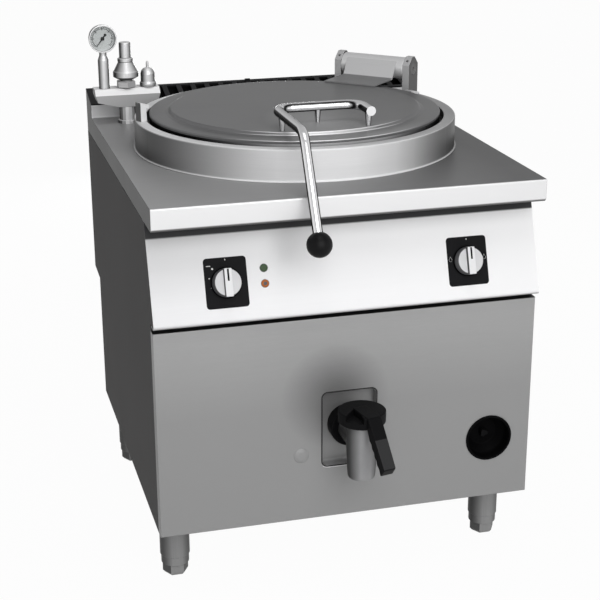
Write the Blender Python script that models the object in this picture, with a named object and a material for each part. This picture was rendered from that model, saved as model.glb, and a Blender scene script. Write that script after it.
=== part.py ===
"""Steam jacketed kettle: a free-standing boiling pan with a hinged lid, in metres, +Z up.

Places are measured back from the worktop's front face (Y), from the middle (X) and from
the floor (Z). One empty, kettle_frame, carries them all to the model's own origin.
"""
import bpy
import bmesh
from math import acos, atan2, cos, degrees, hypot, pi, radians, sin, sqrt, tan
from mathutils import Matrix, Quaternion, Vector

# Cabinet
WIDTH = 0.800
DEPTH = 0.905
WORKTOP_Z = 0.850
ORIGIN_Y = 0.368
SHEET = 0.0015
TOP_SHEET = 0.002
GAP = 0.0003
SKIRT_HEIGHT = 0.0466
NOSE_RADIUS = 0.007
NOSE_RETURN = 0.082
UPSTAND_FROM_REAR = 0.085
UPSTAND_HEIGHT = 0.031
REAR_RISE = 0.053
GRILLE_LIP = 0.010
CABINET_Z = 0.148
REAR_STEP = 0.082
REAR_STEP_Z = 0.450
REAR_STEP_CHAMFER = 0.007

# Control panel and front panel
PANEL_LOW_Y = 0.0117
PANEL_BELOW_TOP = 0.238
PANEL_SLOPE = radians(70.52)
PANEL_LIP = 0.005
PANEL_FOLD = 0.022
SHADOW_GAP = 0.015
FRONT_PANEL_Y = 0.026
FRONT_FOLD = 0.023

# Vessel, jacket and well
COLLAR_FROM_SIDE = 0.050
COLLAR_FROM_FRONT = 0.100
COLLAR_FROM_REAR = 0.105
COLLAR_H = 0.067
RING_WIDTH = 0.025
COLLAR_FLARE = 0.005
LEDGE_DROP = 0.024
VESSEL_SEAT = 0.027
VESSEL_WALL = 0.002
VESSEL_KNUCKLE = 0.060
VESSEL_FALL = 0.010
STEAM_SPACE = 0.037
JACKET_TOP_DROP = 0.050
JACKET_ABOVE_BASE = 0.102
JACKET_KNUCKLE = 0.040
INSULATION = 0.027
INSULATION_ABOVE_FLOOR = 0.135
INSULATION_BELOW_TOP = 0.080

# Lid
LID_CLEARANCE = 0.008
LID_RIM_H = 0.033
LID_FLANGE = 0.046
LID_DISC_RISE = 0.008
LID_DRIP_INSET = 0.027
LID_DRIP_H = 0.008
HANDLE_R = 0.010
HANDLE_HALF = 0.091
HANDLE_BACK_IN = 0.087
HANDLE_ARM_IN = 0.008
HANDLE_REACH = 0.1365
POST_FROM_END = 0.018
HANDLE_LIFT = 0.033
HANDLE_CORNER = 0.035
HANDLE_KNEE = 0.040
HANDLE_SIDES = 10
LEVER_LEAN = radians(29.9)
LEVER_LENGTH = 0.199
BALL_R = 0.025
BALL_FLAT = 0.003
POST_TOP_R = 0.006
POST_LOW_R = 0.0045

# Lid hinge, on the diagonal at the back right
HINGE_TURN = radians(-45)
HINGE_CLEARANCE = 0.0165
HINGE_ABOVE_RING = 0.040
HINGE_TUBE_R = 0.0255
HINGE_TUBE_WALL = 0.003
HINGE_HALF = 0.082
UPRIGHT_THICK = 0.0175
UPRIGHT_DEPTH = 0.049
UPRIGHT_ABOVE_AXIS = 0.029
UPRIGHT_CHAMFER = 0.018
AXLE_R = 0.010
AXLE_HEAD_R = 0.0135
AXLE_HEAD_DEPTH = 0.004
STRAP_HALF = 0.065
STRAP_THICK = 0.003
SPRING_WIRE_R = 0.0025
SPRING_TURNS = 6
SPRING_SIDES = 8

# Legs
LEG_FROM_SIDE = 0.048
LEG_FRONT_Y = 0.145
LEG_FROM_REAR = 0.180
LEG_R = 0.0315
LEG_COLLAR_R = 0.0295
LEG_COLLAR_Z = 0.046
FOOT_HEX = 0.028
FOOT_H = 0.026
FOOT_STEM_R = 0.014
FOOT_STEM_GRIP = 0.060

# Drain valve
DRAIN_ABOVE_JACKET = 0.100
DRAIN_BELOW_VESSEL = 0.050
VALVE_Y = -0.058
VALVE_TOP_R = 0.0315
VALVE_MOUTH_R = 0.028
VALVE_H = 0.120
VALVE_SEAT_R = 0.0245
VALVE_SEAT_LOW_R = 0.0228
VALVE_SEAT_H = 0.078
TAIL_R = 0.026
TAIL_WALL = 0.006
TAIL_REACH = 0.070
CAP_R = 0.048
CAP_H = 0.026
NOTCH_DEPTH = 0.012
PLUG_WALL = 0.006
PLUG_STEM_R = 0.007
PLUG_STEM_H = 0.014
ARM_TURN = radians(12)
ARM_SLOPE = radians(54)
ARM_LENGTH = 0.106
ARM_WIDTH = 0.030
ARM_END_WIDTH = 0.027
ARM_THICK = 0.022
TRAY_WIDTH = 0.117
TRAY_HEIGHT = 0.165
TRAY_BELOW_DRAIN = 0.003
TRAY_CORNER = 0.012
TRAY_DEPTH = 0.022
FLANGE_R = 0.041
FLANGE_PROUD = 0.008

# Level tap, reset cap
CUP_FROM_SIDE = 0.091
CUP_BELOW_DRAIN = 0.065
CUP_R = 0.051
CUP_DEPTH = 0.038
CUP_WALL = 0.002
CUP_LIP = 0.0025
LOBE_R = 0.009
RESET_FROM_TRAY = 0.044
RESET_BELOW_DRAIN = 0.055
RESET_R = 0.016

# Controls
KNOB_FROM_SIDE = 0.150
KNOB_ABOVE_FOLD = 0.069
PLATE_WIDTH = 0.0855
PLATE_HEIGHT = 0.0995
PLATE_THICK = 0.0015
PLATE_CORNER = 0.007
BEZEL_R = 0.031
BEZEL_H = 0.004
KNOB_R = 0.0285
KNOB_FACE_R = 0.0262
KNOB_H = 0.019
GRIP_WIDTH = 0.019
GRIP_H = 0.007
SHAFT_R = 0.004
LAMP_FROM_KNOB = 0.077
LAMP_R = 0.0085
LAMP_ALONG = 0.0223
LAMP_SPACING = 0.0306

# Safety group at the back left
RISER_FROM_SIDE = 0.078
RISER_FROM_REAR = 0.148
RISER_R = 0.0195
RISER_H = 0.0405
MANIFOLD_WIDTH = 0.151
MANIFOLD_H = 0.041
MANIFOLD_FRONT = 0.020
MANIFOLD_DEPTH = 0.050
MANIFOLD_CHAMFER = 0.013
FITTING_SPACING = 0.051
FITTING_BACK = 0.0055
GAUGE_R = 0.032
GAUGE_DEPTH = 0.026
GAUGE_STEM_R = 0.0125
GAUGE_NECK_R = 0.0085
GAUGE_STEM_H = 0.084
NEEDLE_REST = radians(38)
RELIEF_GUIDE_R = 0.0075

# Water supply: the spout on the ring, its pipe and the valve on the rear step
WATER_PIPE_R = 0.004
WATER_BEND = 0.018
PIPE_FROM_SIDE = 0.006
PIPE_RISE = 0.150
PIPE_SLANT = 0.040
PIPE_FORWARD = 0.144
PIPE_STRAIGHT = 0.068
PIPE_BELOW_TOP = 0.022
VALVE_BLOCK = 0.050
INLET_REACH = 0.022
COIL_R = 0.017
COIL_H = 0.035
SPOUT_TURN = radians(8.2)
SPOUT_LEG = 0.015
SPOUT_WIDTH = 0.012
SPOUT_H = 0.033
SPOUT_ARM = 0.021
SPOUT_ARM_H = 0.0095
SPOUT_WALL = 0.0015
INLET_FROM_SIDE = (0.070, 0.130)
INLET_R = 0.0125
GLAND_FROM_SIDE = 0.080
GLAND_R = 0.011

# Heating elements and the posts under the jacket
ELEMENT_ABOVE_FLOOR = 0.048
ELEMENT_NECK_R = 0.030
ELEMENT_FLANGE_R = 0.045
ELEMENT_R = 0.004
ELEMENT_PITCH = 0.020
RAIL = 0.040
POST_INSET = 0.085
POST_R = 0.020

# Roundness of turned work: the sides of a full circle
FINE = 36
MEDIUM = 24
DIAL = 20
SMALL = 16
TINY = 12

# Values that follow from the sizes above
HALF = WIDTH / 2
COLLAR_R = min(HALF - COLLAR_FROM_SIDE, (DEPTH - COLLAR_FROM_FRONT - COLLAR_FROM_REAR) / 2)
CENTRE_Y = COLLAR_FROM_FRONT + COLLAR_R
PANEL_LOW_Z = WORKTOP_Z - PANEL_BELOW_TOP
SKIRT_Z = WORKTOP_Z - SKIRT_HEIGHT
UPSTAND_Y = DEPTH - UPSTAND_FROM_REAR
RING_Z = WORKTOP_Z + COLLAR_H
LEDGE_Z = RING_Z - LEDGE_DROP
RING_INNER_R = COLLAR_R - RING_WIDTH
VESSEL_R = RING_INNER_R - VESSEL_SEAT
VESSEL_OUT_R = VESSEL_R + VESSEL_WALL
JACKET_R = VESSEL_R + STEAM_SPACE
JACKET_TOP = WORKTOP_Z - JACKET_TOP_DROP
JACKET_Z = CABINET_Z + JACKET_ABOVE_BASE
DRAIN_Z = JACKET_Z + DRAIN_ABOVE_JACKET
VESSEL_FLOOR = DRAIN_Z + DRAIN_BELOW_VESSEL
INSULATION_Z = (JACKET_Z + INSULATION_ABOVE_FLOOR, JACKET_TOP - INSULATION_BELOW_TOP)
ELEMENT_Z = JACKET_Z + ELEMENT_ABOVE_FLOOR
POST_CIRCLE = JACKET_R - POST_INSET
WELL_HOLE_R = COLLAR_R - TOP_SHEET - 0.002
LID_R = RING_INNER_R - LID_CLEARANCE
LID_DISC_R = LID_R - LID_FLANGE
LID_DRIP_R = LID_R - LID_DRIP_INSET
LID_BASE = LEDGE_Z + GAP
LID_RIM_Z = LID_BASE + LID_RIM_H
LID_TOP = LID_RIM_Z + LID_DISC_RISE
HANDLE_Z = LID_TOP + HANDLE_LIFT
DISC_FRONT_Y = CENTRE_Y - LID_DISC_R
HANDLE_BACK_Y = DISC_FRONT_Y + HANDLE_BACK_IN
HANDLE_ARM_Y = DISC_FRONT_Y + HANDLE_ARM_IN
HANDLE_BEND_Y = DISC_FRONT_Y - HANDLE_REACH
HINGE_Z = RING_Z + HINGE_ABOVE_RING
HINGE_RADIUS = COLLAR_R + HINGE_TUBE_R + HINGE_CLEARANCE
TRAY_Z = DRAIN_Z - TRAY_BELOW_DRAIN
CUP_X = HALF - CUP_FROM_SIDE
CUP_Z = DRAIN_Z - CUP_BELOW_DRAIN
RESET_X = -TRAY_WIDTH / 2 - RESET_FROM_TRAY
RESET_Z = DRAIN_Z - RESET_BELOW_DRAIN
KNOB_X = HALF - KNOB_FROM_SIDE
KNOB_Z = PANEL_LOW_Z + KNOB_ABOVE_FOLD
LAMP_X = LAMP_FROM_KNOB - KNOB_X
RISER_X = RISER_FROM_SIDE - HALF
RISER_Y = DEPTH - RISER_FROM_REAR
INLET_X = [inset - HALF for inset in INLET_FROM_SIDE]
GLAND_X = HALF - GLAND_FROM_SIDE
CAP_Z = DRAIN_Z + VALVE_SEAT_H * 0.6
VALVE_FOOT = CAP_Z - VALVE_H
FRONT_TOP_Z = PANEL_LOW_Z - PANEL_LIP - SHADOW_GAP
MANIFOLD_LOW = WORKTOP_Z + RISER_H
MANIFOLD_TOP = MANIFOLD_LOW + MANIFOLD_H
MANIFOLD_Y = RISER_Y - MANIFOLD_FRONT
FITTING_Y = RISER_Y + FITTING_BACK
GAUGE_Z = MANIFOLD_TOP + GAUGE_STEM_H + GAUGE_R
DRAIN_BORE = TAIL_R - TAIL_WALL
DRAIN_BEND = DRAIN_BELOW_VESSEL - VESSEL_WALL - 0.002
SERVICE_Y = DEPTH - REAR_STEP / 2
SPOUT_R = COLLAR_R - RING_WIDTH / 2
SPOUT_X = -SPOUT_R * cos(SPOUT_TURN)
SPOUT_Y = CENTRE_Y + SPOUT_R * sin(SPOUT_TURN)
LEG_X = HALF - LEG_FROM_SIDE
LEG_REAR_Y = DEPTH - LEG_FROM_REAR
LEG_PLACES = [(sx * LEG_X, y) for y in (LEG_FRONT_Y, LEG_REAR_Y) for sx in (-1, 1)]


def clear_scene():
    for thing in list(bpy.data.objects):
        bpy.data.objects.remove(thing, do_unlink=True)


def empty(name, location, parent=None, rotation=(0, 0, 0)):
    guide = bpy.data.objects.new(name, None)
    guide.location = location
    guide.rotation_euler = rotation
    guide.parent = parent
    bpy.context.collection.objects.link(guide)
    return guide


def finish_colour(name, colour, roughness, metallic):
    surface = bpy.data.materials.new(name)
    surface.use_nodes = True
    shader = surface.node_tree.nodes["Principled BSDF"]
    shader.inputs["Base Color"].default_value = (*colour, 1)
    shader.inputs["Roughness"].default_value = roughness
    shader.inputs["Metallic"].default_value = metallic
    surface.diffuse_color = (*colour, 1)
    return surface


def panel_line(z):
    """Where the control panel's slanted face is, at a height."""
    return PANEL_LOW_Y + (z - PANEL_LOW_Z) / tan(PANEL_SLOPE)


clear_scene()
FRAME = empty("kettle_frame", (0, -ORIGIN_Y, 0))

# Frame of the slanted panel: X across, Y up the slope, Z out of the face, at the knobs' height
PANEL = empty("panel_frame", (0, panel_line(KNOB_Z), KNOB_Z), FRAME, (PANEL_SLOPE, 0, 0))

# Frame of the lid hinge: X along its axle, Y outward from the middle of the lid
HINGE = empty("hinge_frame",
              (HINGE_RADIUS * sin(-HINGE_TURN), CENTRE_Y + HINGE_RADIUS * cos(HINGE_TURN), HINGE_Z),
              FRAME, (0, 0, HINGE_TURN))

# Finishes: name, colour, roughness, metallic
STEEL = ("steel", (0.56, 0.56, 0.55), 0.35, 1.0)
BRIGHT = ("bright_steel", (0.80, 0.80, 0.79), 0.28, 1.0)
DARK_STEEL = ("side_steel", (0.33, 0.33, 0.33), 0.40, 1.0)
CHROME = ("chrome", (0.85, 0.85, 0.86), 0.08, 1.0)
BLACK = ("black_plastic", (0.02, 0.02, 0.02), 0.35, 0.0)
SILVER = ("silver_plastic", (0.66, 0.66, 0.67), 0.30, 0.4)
BRASS = ("brass", (0.72, 0.55, 0.30), 0.30, 1.0)
WOOL = ("mineral_wool", (0.70, 0.66, 0.52), 0.95, 0.0)
GREEN = ("green_lens", (0.10, 0.30, 0.18), 0.20, 0.0)
AMBER = ("amber_lens", (0.60, 0.22, 0.12), 0.20, 0.0)
WHITE = ("white_dial", (0.86, 0.86, 0.84), 0.50, 0.0)
GLASS = ("clear_lens", (0.90, 0.92, 0.92), 0.05, 0.0)


def place(name, data, finish, parent=FRAME, location=(0, 0, 0), rotation=(0, 0, 0)):
    """A named sub-part with a material of its own."""
    piece = bpy.data.objects.new(name, data)
    data.materials.clear()
    data.materials.append(finish_colour(name + "_" + finish[0], *finish[1:]))
    piece.location = location
    piece.rotation_euler = rotation
    piece.parent = parent
    bpy.context.collection.objects.link(piece)
    return piece


def mesh_from(bm, name, smooth=True):
    bmesh.ops.remove_doubles(bm, verts=bm.verts, dist=1e-6)
    bmesh.ops.recalc_face_normals(bm, faces=bm.faces)
    data = bpy.data.meshes.new(name)
    bm.to_mesh(data)
    bm.free()
    if smooth:
        data.shade_smooth()
        data.set_sharp_from_angle(angle=radians(32))
    return data


def turned_mesh(name, profiles, sides, turn=0.0):
    """Closed outlines of (radius, height), spun about Z. Points at radius 0 close on the axis."""
    bm = bmesh.new()
    for profile in profiles:
        points = [bm.verts.new((r, 0, z)) for r, z in profile]
        edges = []
        for here, after in zip(points, points[1:] + points[:1]):
            if here.co.x > 0 or after.co.x > 0:
                edges.append(bm.edges.new((here, after)))
        bmesh.ops.spin(bm, geom=points + edges, cent=(0, 0, 0), axis=(0, 0, 1),
                       angle=2 * pi, steps=sides, use_merge=True)
    bmesh.ops.rotate(bm, cent=(0, 0, 0), matrix=Matrix.Rotation(turn, 3, "Z"), verts=bm.verts)
    return mesh_from(bm, name)


def turned(name, profile, sides, finish, parent=FRAME, location=(0, 0, 0), rotation=(0, 0, 0)):
    return place(name, turned_mesh(name, [profile], sides), finish, parent, location, rotation)


def box_into(bm, low, high):
    corners = bmesh.ops.create_cube(bm, size=1)["verts"]
    size = [b - a for a, b in zip(low, high)]
    middle = [(a + b) / 2 for a, b in zip(low, high)]
    bmesh.ops.scale(bm, vec=size, verts=corners)
    bmesh.ops.translate(bm, vec=middle, verts=corners)
    return corners


def box_mesh(name, boxes):
    bm = bmesh.new()
    for low, high in boxes:
        box_into(bm, low, high)
    return mesh_from(bm, name, smooth=False)


def copies_mesh(name, data, places):
    """One mesh that holds a copy of another at each place."""
    bm = bmesh.new()
    for spot in places:
        before = len(bm.verts)
        bm.from_mesh(data)
        bm.verts.ensure_lookup_table()
        bmesh.ops.translate(bm, vec=spot, verts=bm.verts[before:])
    return mesh_from(bm, name)


def slab_mesh(name, outline, low, high, axis="X", smooth=False):
    """An outline pushed along an axis: (y, z) for X, (x, z) for Y, (x, y) for Z."""
    def corner(a, b, along):
        return {"X": (along, a, b), "Y": (a, along, b), "Z": (a, b, along)}[axis]
    bm = bmesh.new()
    face = bm.faces.new([bm.verts.new(corner(a, b, low)) for a, b in outline])
    grown = bmesh.ops.extrude_face_region(bm, geom=[face])["geom"]
    moved = [v for v in grown if isinstance(v, bmesh.types.BMVert)]
    step = corner(0, 0, high - low)
    bmesh.ops.translate(bm, vec=step, verts=moved)
    return mesh_from(bm, name, smooth)


def arc(centre, radius, start, stop, steps):
    """Points on an arc, in degrees, ends included."""
    for i in range(steps + 1):
        a = radians(start + (stop - start) * i / steps)
        yield (centre[0] + radius * cos(a), centre[1] + radius * sin(a))


def rounded_rectangle(width, height, radius, steps=3):
    half_w, half_h = width / 2 - radius, height / 2 - radius
    outline = []
    for sx, sy, start in ((1, 1, 0), (-1, 1, 90), (-1, -1, 180), (1, -1, 270)):
        outline += arc((sx * half_w, sy * half_h), radius, start, start + 90, steps)
    return outline


def moved(outline, across, up):
    return [(a + across, b + up) for a, b in outline]


def cutter(name, data, parent=FRAME, location=(0, 0, 0), rotation=(0, 0, 0)):
    tool = bpy.data.objects.new(name, data)
    tool.location = location
    tool.rotation_euler = rotation
    tool.parent = parent
    tool.hide_render = True
    tool.display_type = "WIRE"
    bpy.context.collection.objects.link(tool)
    return tool


def combine(piece, tool, operation="DIFFERENCE"):
    step = piece.modifiers.new(operation.lower() + "_" + tool.name, "BOOLEAN")
    step.operation = operation
    step.solver = "EXACT"
    step.object = tool
    return piece


def rod_cutter(name, radius, low, high, sides, **where):
    data = turned_mesh(name, [[(0, low), (radius, low), (radius, high), (0, high)]], sides)
    return cutter(name, data, **where)


def free_bore(shaft_radius, sides, clearance=GAP):
    """The radius of a faceted hole that a round shaft turns in without touching its flats."""
    return (shaft_radius + clearance) / cos(pi / sides)


def thicken(piece, thickness, offset=-1):
    sheet = piece.modifiers.new("sheet", "SOLIDIFY")
    sheet.thickness = thickness
    sheet.offset = offset
    sheet.use_even_offset = True
    return piece


def rounded_path(points, radius, steps=4):
    """A polyline with each inner corner turned into an arc of the given radius."""
    points = [Vector(p) for p in points]
    path = [points[0]]
    for before, corner, after in zip(points, points[1:], points[2:]):
        inward, outward = (before - corner).normalized(), (after - corner).normalized()
        opening = inward.angle(outward)
        reach = radius / tan(opening / 2)
        middle = corner + (inward + outward).normalized() * (radius / sin(opening / 2))
        first, last = corner + inward * reach, corner + outward * reach
        sweep = (first - middle).rotation_difference(last - middle)
        for i in range(steps + 1):
            path.append(middle + Quaternion().slerp(sweep, i / steps) @ (first - middle))
    return path + [points[-1]]


def swept_mesh(name, paths, radius, sides):
    """Round bars along paths of points, each section carried on without a twist."""
    bm = bmesh.new()
    for path in paths:
        points = [Vector(p) for p in path]
        steps = [(b - a).normalized() for a, b in zip(points, points[1:])]
        side, rings = steps[0].orthogonal().normalized(), []
        for i, point in enumerate(points):
            along = (steps[max(i - 1, 0)] + steps[min(i, len(steps) - 1)]).normalized()
            side = (side - along * side.dot(along)).normalized()
            other = along.cross(side)
            turns = [2 * pi * j / sides for j in range(sides)]
            rings.append([bm.verts.new(point + radius * (cos(a) * side + sin(a) * other))
                          for a in turns])
        for low, high in zip(rings, rings[1:]):
            for j in range(sides):
                bm.faces.new((low[j - 1], low[j], high[j], high[j - 1]))
        bm.faces.new(rings[0])
        bm.faces.new(rings[-1])
    return mesh_from(bm, name)


def bar_curve(name, points, radius, roundness, finish, parent=FRAME, capped=True):
    """A round bar or pipe along a path of points."""
    data = bpy.data.curves.new(name, "CURVE")
    data.dimensions = "3D"
    data.bevel_depth = radius
    data.bevel_resolution = roundness
    data.use_fill_caps = capped
    spline = data.splines.new("POLY")
    spline.points.add(len(points) - 1)
    for knot, point in zip(spline.points, points):
        knot.co = (*point, 1)
    return place(name, data, finish, parent)


def slope_z(y):
    """Height of the lips that carry the rear grille."""
    rise = (REAR_RISE - UPSTAND_HEIGHT) / UPSTAND_FROM_REAR
    return WORKTOP_Z + UPSTAND_HEIGHT + (y - UPSTAND_Y) * rise


def worktop():
    """Deep-drawn top: rounded nose, side skirts, upstand and the two lips under the grille."""
    nose = (NOSE_RADIUS, SKIRT_Z + NOSE_RADIUS)
    outside = [(DEPTH, SKIRT_Z), (NOSE_RETURN, SKIRT_Z)]
    outside += arc(nose, NOSE_RADIUS, 270, 180, 4)
    outside += arc((TOP_SHEET, WORKTOP_Z - TOP_SHEET), TOP_SHEET, 180, 90, 2)
    outside += [(UPSTAND_Y, WORKTOP_Z), (UPSTAND_Y, slope_z(UPSTAND_Y)), (DEPTH, slope_z(DEPTH))]
    above, below = slope_z(DEPTH) + 0.02, SKIRT_Z - 0.02
    front_lip, rear_lip = UPSTAND_Y + GRILLE_LIP, DEPTH - GRILLE_LIP
    back_of_upstand, inside_rear = UPSTAND_Y + TOP_SHEET, DEPTH - TOP_SHEET
    inside = [(NOSE_RETURN, below), (NOSE_RETURN, SKIRT_Z + TOP_SHEET)]
    inside += arc(nose, NOSE_RADIUS - TOP_SHEET, 270, 180, 4)
    inside += [(TOP_SHEET, WORKTOP_Z - TOP_SHEET), (back_of_upstand, WORKTOP_Z - TOP_SHEET)]
    inside += [(back_of_upstand, slope_z(back_of_upstand) - TOP_SHEET)]
    inside += [(front_lip, slope_z(front_lip) - TOP_SHEET), (front_lip, above)]
    inside += [(rear_lip, above), (rear_lip, slope_z(rear_lip) - TOP_SHEET)]
    inside += [(inside_rear, slope_z(inside_rear) - TOP_SHEET), (inside_rear, below)]
    top = place("worktop", slab_mesh("worktop", outside, -HALF, HALF), STEEL)
    hollow = slab_mesh("worktop_hollow", inside, TOP_SHEET - HALF, HALF - TOP_SHEET)
    combine(top, cutter("worktop_hollow", hollow))
    sheet = (WORKTOP_Z - 0.02, WORKTOP_Z + 0.02)
    combine(top, rod_cutter("well_hole", WELL_HOLE_R, *sheet, FINE, location=(0, CENTRE_Y, 0)))
    combine(top, rod_cutter("riser_hole", RISER_R + GAP, *sheet, SMALL,
                            location=(RISER_X, RISER_Y, 0)))


def well_collar():
    """Raised ring round the mouth of the vessel, welded to the worktop."""
    base = WORKTOP_Z + GAP
    outer, inner, flare = COLLAR_R, RING_INNER_R, COLLAR_R + COLLAR_FLARE
    edge = 0.003
    profile = [(flare, base), (flare, base + TOP_SHEET), (outer, base + 2 * TOP_SHEET),
               (outer, RING_Z - edge), (outer - edge, RING_Z), (inner + edge, RING_Z),
               (inner, RING_Z - edge), (inner, LEDGE_Z + GAP),
               (inner + TOP_SHEET, LEDGE_Z + GAP), (inner + TOP_SHEET, RING_Z - 2 * TOP_SHEET),
               (outer - TOP_SHEET, RING_Z - 2 * TOP_SHEET), (outer - TOP_SHEET, base)]
    ring = turned("well_collar", profile, FINE, STEEL, location=(0, CENTRE_Y, 0))
    pipe = rod_cutter("spout_hole", WATER_PIPE_R + GAP, RING_Z - 0.02, RING_Z + 0.02, TINY,
                      location=(SPOUT_X, SPOUT_Y, 0))
    combine(ring, pipe)


def water_spout():
    """Square spout: a leg on the ring and an arm whose open end looks into the vessel."""
    half, top = SPOUT_LEG / 2, RING_Z + GAP + SPOUT_H
    arm_low, reach = top - SPOUT_ARM_H, SPOUT_ARM - SPOUT_LEG / 2
    outline = [(-half, RING_Z + GAP), (half, RING_Z + GAP), (half, arm_low), (reach, arm_low),
               (reach, top), (-half, top)]
    data = slab_mesh("water_spout", outline, -SPOUT_WIDTH / 2, SPOUT_WIDTH / 2, "Y")
    where = dict(location=(SPOUT_X, SPOUT_Y, 0), rotation=(0, 0, -SPOUT_TURN))
    spout = place("water_spout", data, BRIGHT, **where)
    mouth = box_mesh("spout_mouth", [((-half / 2, SPOUT_WALL - SPOUT_WIDTH / 2, arm_low + SPOUT_WALL),
                                      (reach + 0.01, SPOUT_WIDTH / 2 - SPOUT_WALL, top - SPOUT_WALL))])
    combine(spout, cutter("spout_mouth", mouth, **where))


def lid_guide():
    """Small folded plate on the ring that centres the lid as it closes."""
    turn, foot = radians(20.6), RING_Z + GAP
    outline = [(-0.009, foot), (0.010, foot), (0.010, foot + 0.004), (-0.009, foot + 0.008),
               (-0.014, foot + 0.008), (-0.014, foot + 0.006), (-0.009, foot + 0.005)]
    data = slab_mesh("lid_guide", outline, -0.012, 0.012, "Y")
    radius = COLLAR_R - RING_WIDTH / 2
    place("lid_guide", data, BRIGHT, rotation=(0, 0, turn),
          location=(radius * cos(turn), CENTRE_Y + radius * sin(turn), 0))


def panel_roll():
    """Centre of the control panel's rolled lower edge, as (y, z)."""
    return (PANEL_LOW_Y + PANEL_LIP * sin(PANEL_SLOPE), PANEL_LOW_Z - PANEL_LIP * cos(PANEL_SLOPE))


def side_panels():
    """Left and right sheets, which follow the control panel in front and step in behind."""
    front = FRONT_PANEL_Y + FRONT_FOLD + GAP
    inside = SHEET + GAP
    roll, top = panel_roll(), SKIRT_Z - GAP
    fold_end = panel_line(top) + PANEL_FOLD + GAP
    step_y = DEPTH - REAR_STEP
    outline = [(front, CABINET_Z), (front, roll[1] - PANEL_LIP + inside)]
    outline += arc(roll, PANEL_LIP - inside, 270, 90 + degrees(PANEL_SLOPE), 3)
    outline += [(panel_line(top - inside) + inside / sin(PANEL_SLOPE), top - inside),
                (fold_end, top - inside), (fold_end, top), (DEPTH, top),
                (DEPTH, REAR_STEP_Z + REAR_STEP_CHAMFER), (step_y, REAR_STEP_Z),
                (step_y, CABINET_Z)]
    for name, outside, inside in (("left_side_panel", -HALF, SHEET - HALF),
                                  ("right_side_panel", HALF - SHEET, HALF)):
        place(name, slab_mesh(name, outline, outside, inside), DARK_STEEL)


def strip_mesh(name, line, half_width):
    """A sheet with no thickness yet: a line of (y, z) drawn out along X."""
    bm = bmesh.new()
    left = [bm.verts.new((-half_width, y, z)) for y, z in line]
    edges = [bm.edges.new(pair) for pair in zip(left, left[1:])]
    grown = bmesh.ops.extrude_edge_only(bm, edges=edges)["geom"]
    right = [v for v in grown if isinstance(v, bmesh.types.BMVert)]
    bmesh.ops.translate(bm, vec=(2 * half_width, 0, 0), verts=right)
    data = bpy.data.meshes.new(name)
    bm.to_mesh(data)
    bm.free()
    return data


def rear_panel():
    """Back sheet with the step that leaves room for the pipes behind the lower half."""
    inside = HALF - SHEET - GAP
    step_y = DEPTH - REAR_STEP
    line = [(step_y, CABINET_Z), (step_y, REAR_STEP_Z), (DEPTH, REAR_STEP_Z + REAR_STEP_CHAMFER),
            (DEPTH, SKIRT_Z - GAP)]
    panel = place("rear_panel", strip_mesh("rear_panel", line, inside), DARK_STEEL)
    thicken(panel, SHEET, offset=1)
    for name, x, radius in (("inlet_hole_left", INLET_X[0], INLET_R + GAP),
                            ("inlet_hole_right", INLET_X[1], INLET_R + GAP),
                            ("cable_hole", GLAND_X, GLAND_R + GAP)):
        combine(panel, rod_cutter(name, radius, REAR_STEP_Z - 0.03, REAR_STEP_Z + 0.03, TINY,
                                  location=(x, SERVICE_Y, 0)))


def control_panel():
    """Slanted satin sheet with a rolled lower edge, folded back at the top and the bottom."""
    top_z = SKIRT_Z - GAP
    roll = panel_roll()
    line = [(panel_line(top_z) + PANEL_FOLD, top_z), (panel_line(top_z), top_z)]
    line += arc(roll, PANEL_LIP, 90 + degrees(PANEL_SLOPE), 270, 4)
    line += [(roll[0] + PANEL_FOLD, roll[1] - PANEL_LIP)]
    panel = place("control_panel", strip_mesh("control_panel", line, HALF), BRIGHT)
    thicken(panel, SHEET, offset=1)
    for side, hole in ((-1, "left_shaft_hole"), (1, "right_shaft_hole")):
        combine(panel, rod_cutter(hole, free_bore(SHAFT_R, TINY), -0.02, 0.02, TINY,
                                  parent=PANEL, location=(side * KNOB_X, 0, 0)))
    for name, along in (("green_lamp_hole", LAMP_ALONG), ("amber_lamp_hole", LAMP_ALONG - LAMP_SPACING)):
        combine(panel, rod_cutter(name, LAMP_R * 0.7 + GAP, -0.02, 0.02, TINY,
                                  parent=PANEL, location=(LAMP_X, along, 0)))


def front_panel():
    """Folded front sheet with the openings for the drain tray, the level tap and the reset cap."""
    low, high = CABINET_Z, FRONT_TOP_Z
    bm = bmesh.new()
    box_into(bm, (-HALF, FRONT_PANEL_Y, low), (HALF, FRONT_PANEL_Y + FRONT_FOLD, high))
    back = [f for f in bm.faces if f.normal.y > 0.5]
    bmesh.ops.delete(bm, geom=back, context="FACES")
    data = bpy.data.meshes.new("front_panel")
    bm.to_mesh(data)
    bm.free()
    panel = thicken(place("front_panel", data, STEEL), SHEET)
    near, far = FRONT_PANEL_Y - 0.01, FRONT_PANEL_Y + 0.01
    hole = rounded_rectangle(TRAY_WIDTH + 2 * GAP, TRAY_HEIGHT + 2 * GAP, TRAY_CORNER + GAP)
    combine(panel, cutter("tray_hole", slab_mesh("tray_hole", moved(hole, 0, TRAY_Z), near, far, "Y")))
    facing = dict(rotation=(-pi / 2, 0, 0))
    combine(panel, rod_cutter("cup_hole", CUP_R - CUP_LIP, near, far, MEDIUM,
                              location=(CUP_X, 0, CUP_Z), **facing))
    combine(panel, rod_cutter("reset_hole", RESET_R * 0.7, near, far, SMALL,
                              location=(RESET_X, 0, RESET_Z), **facing))


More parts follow.
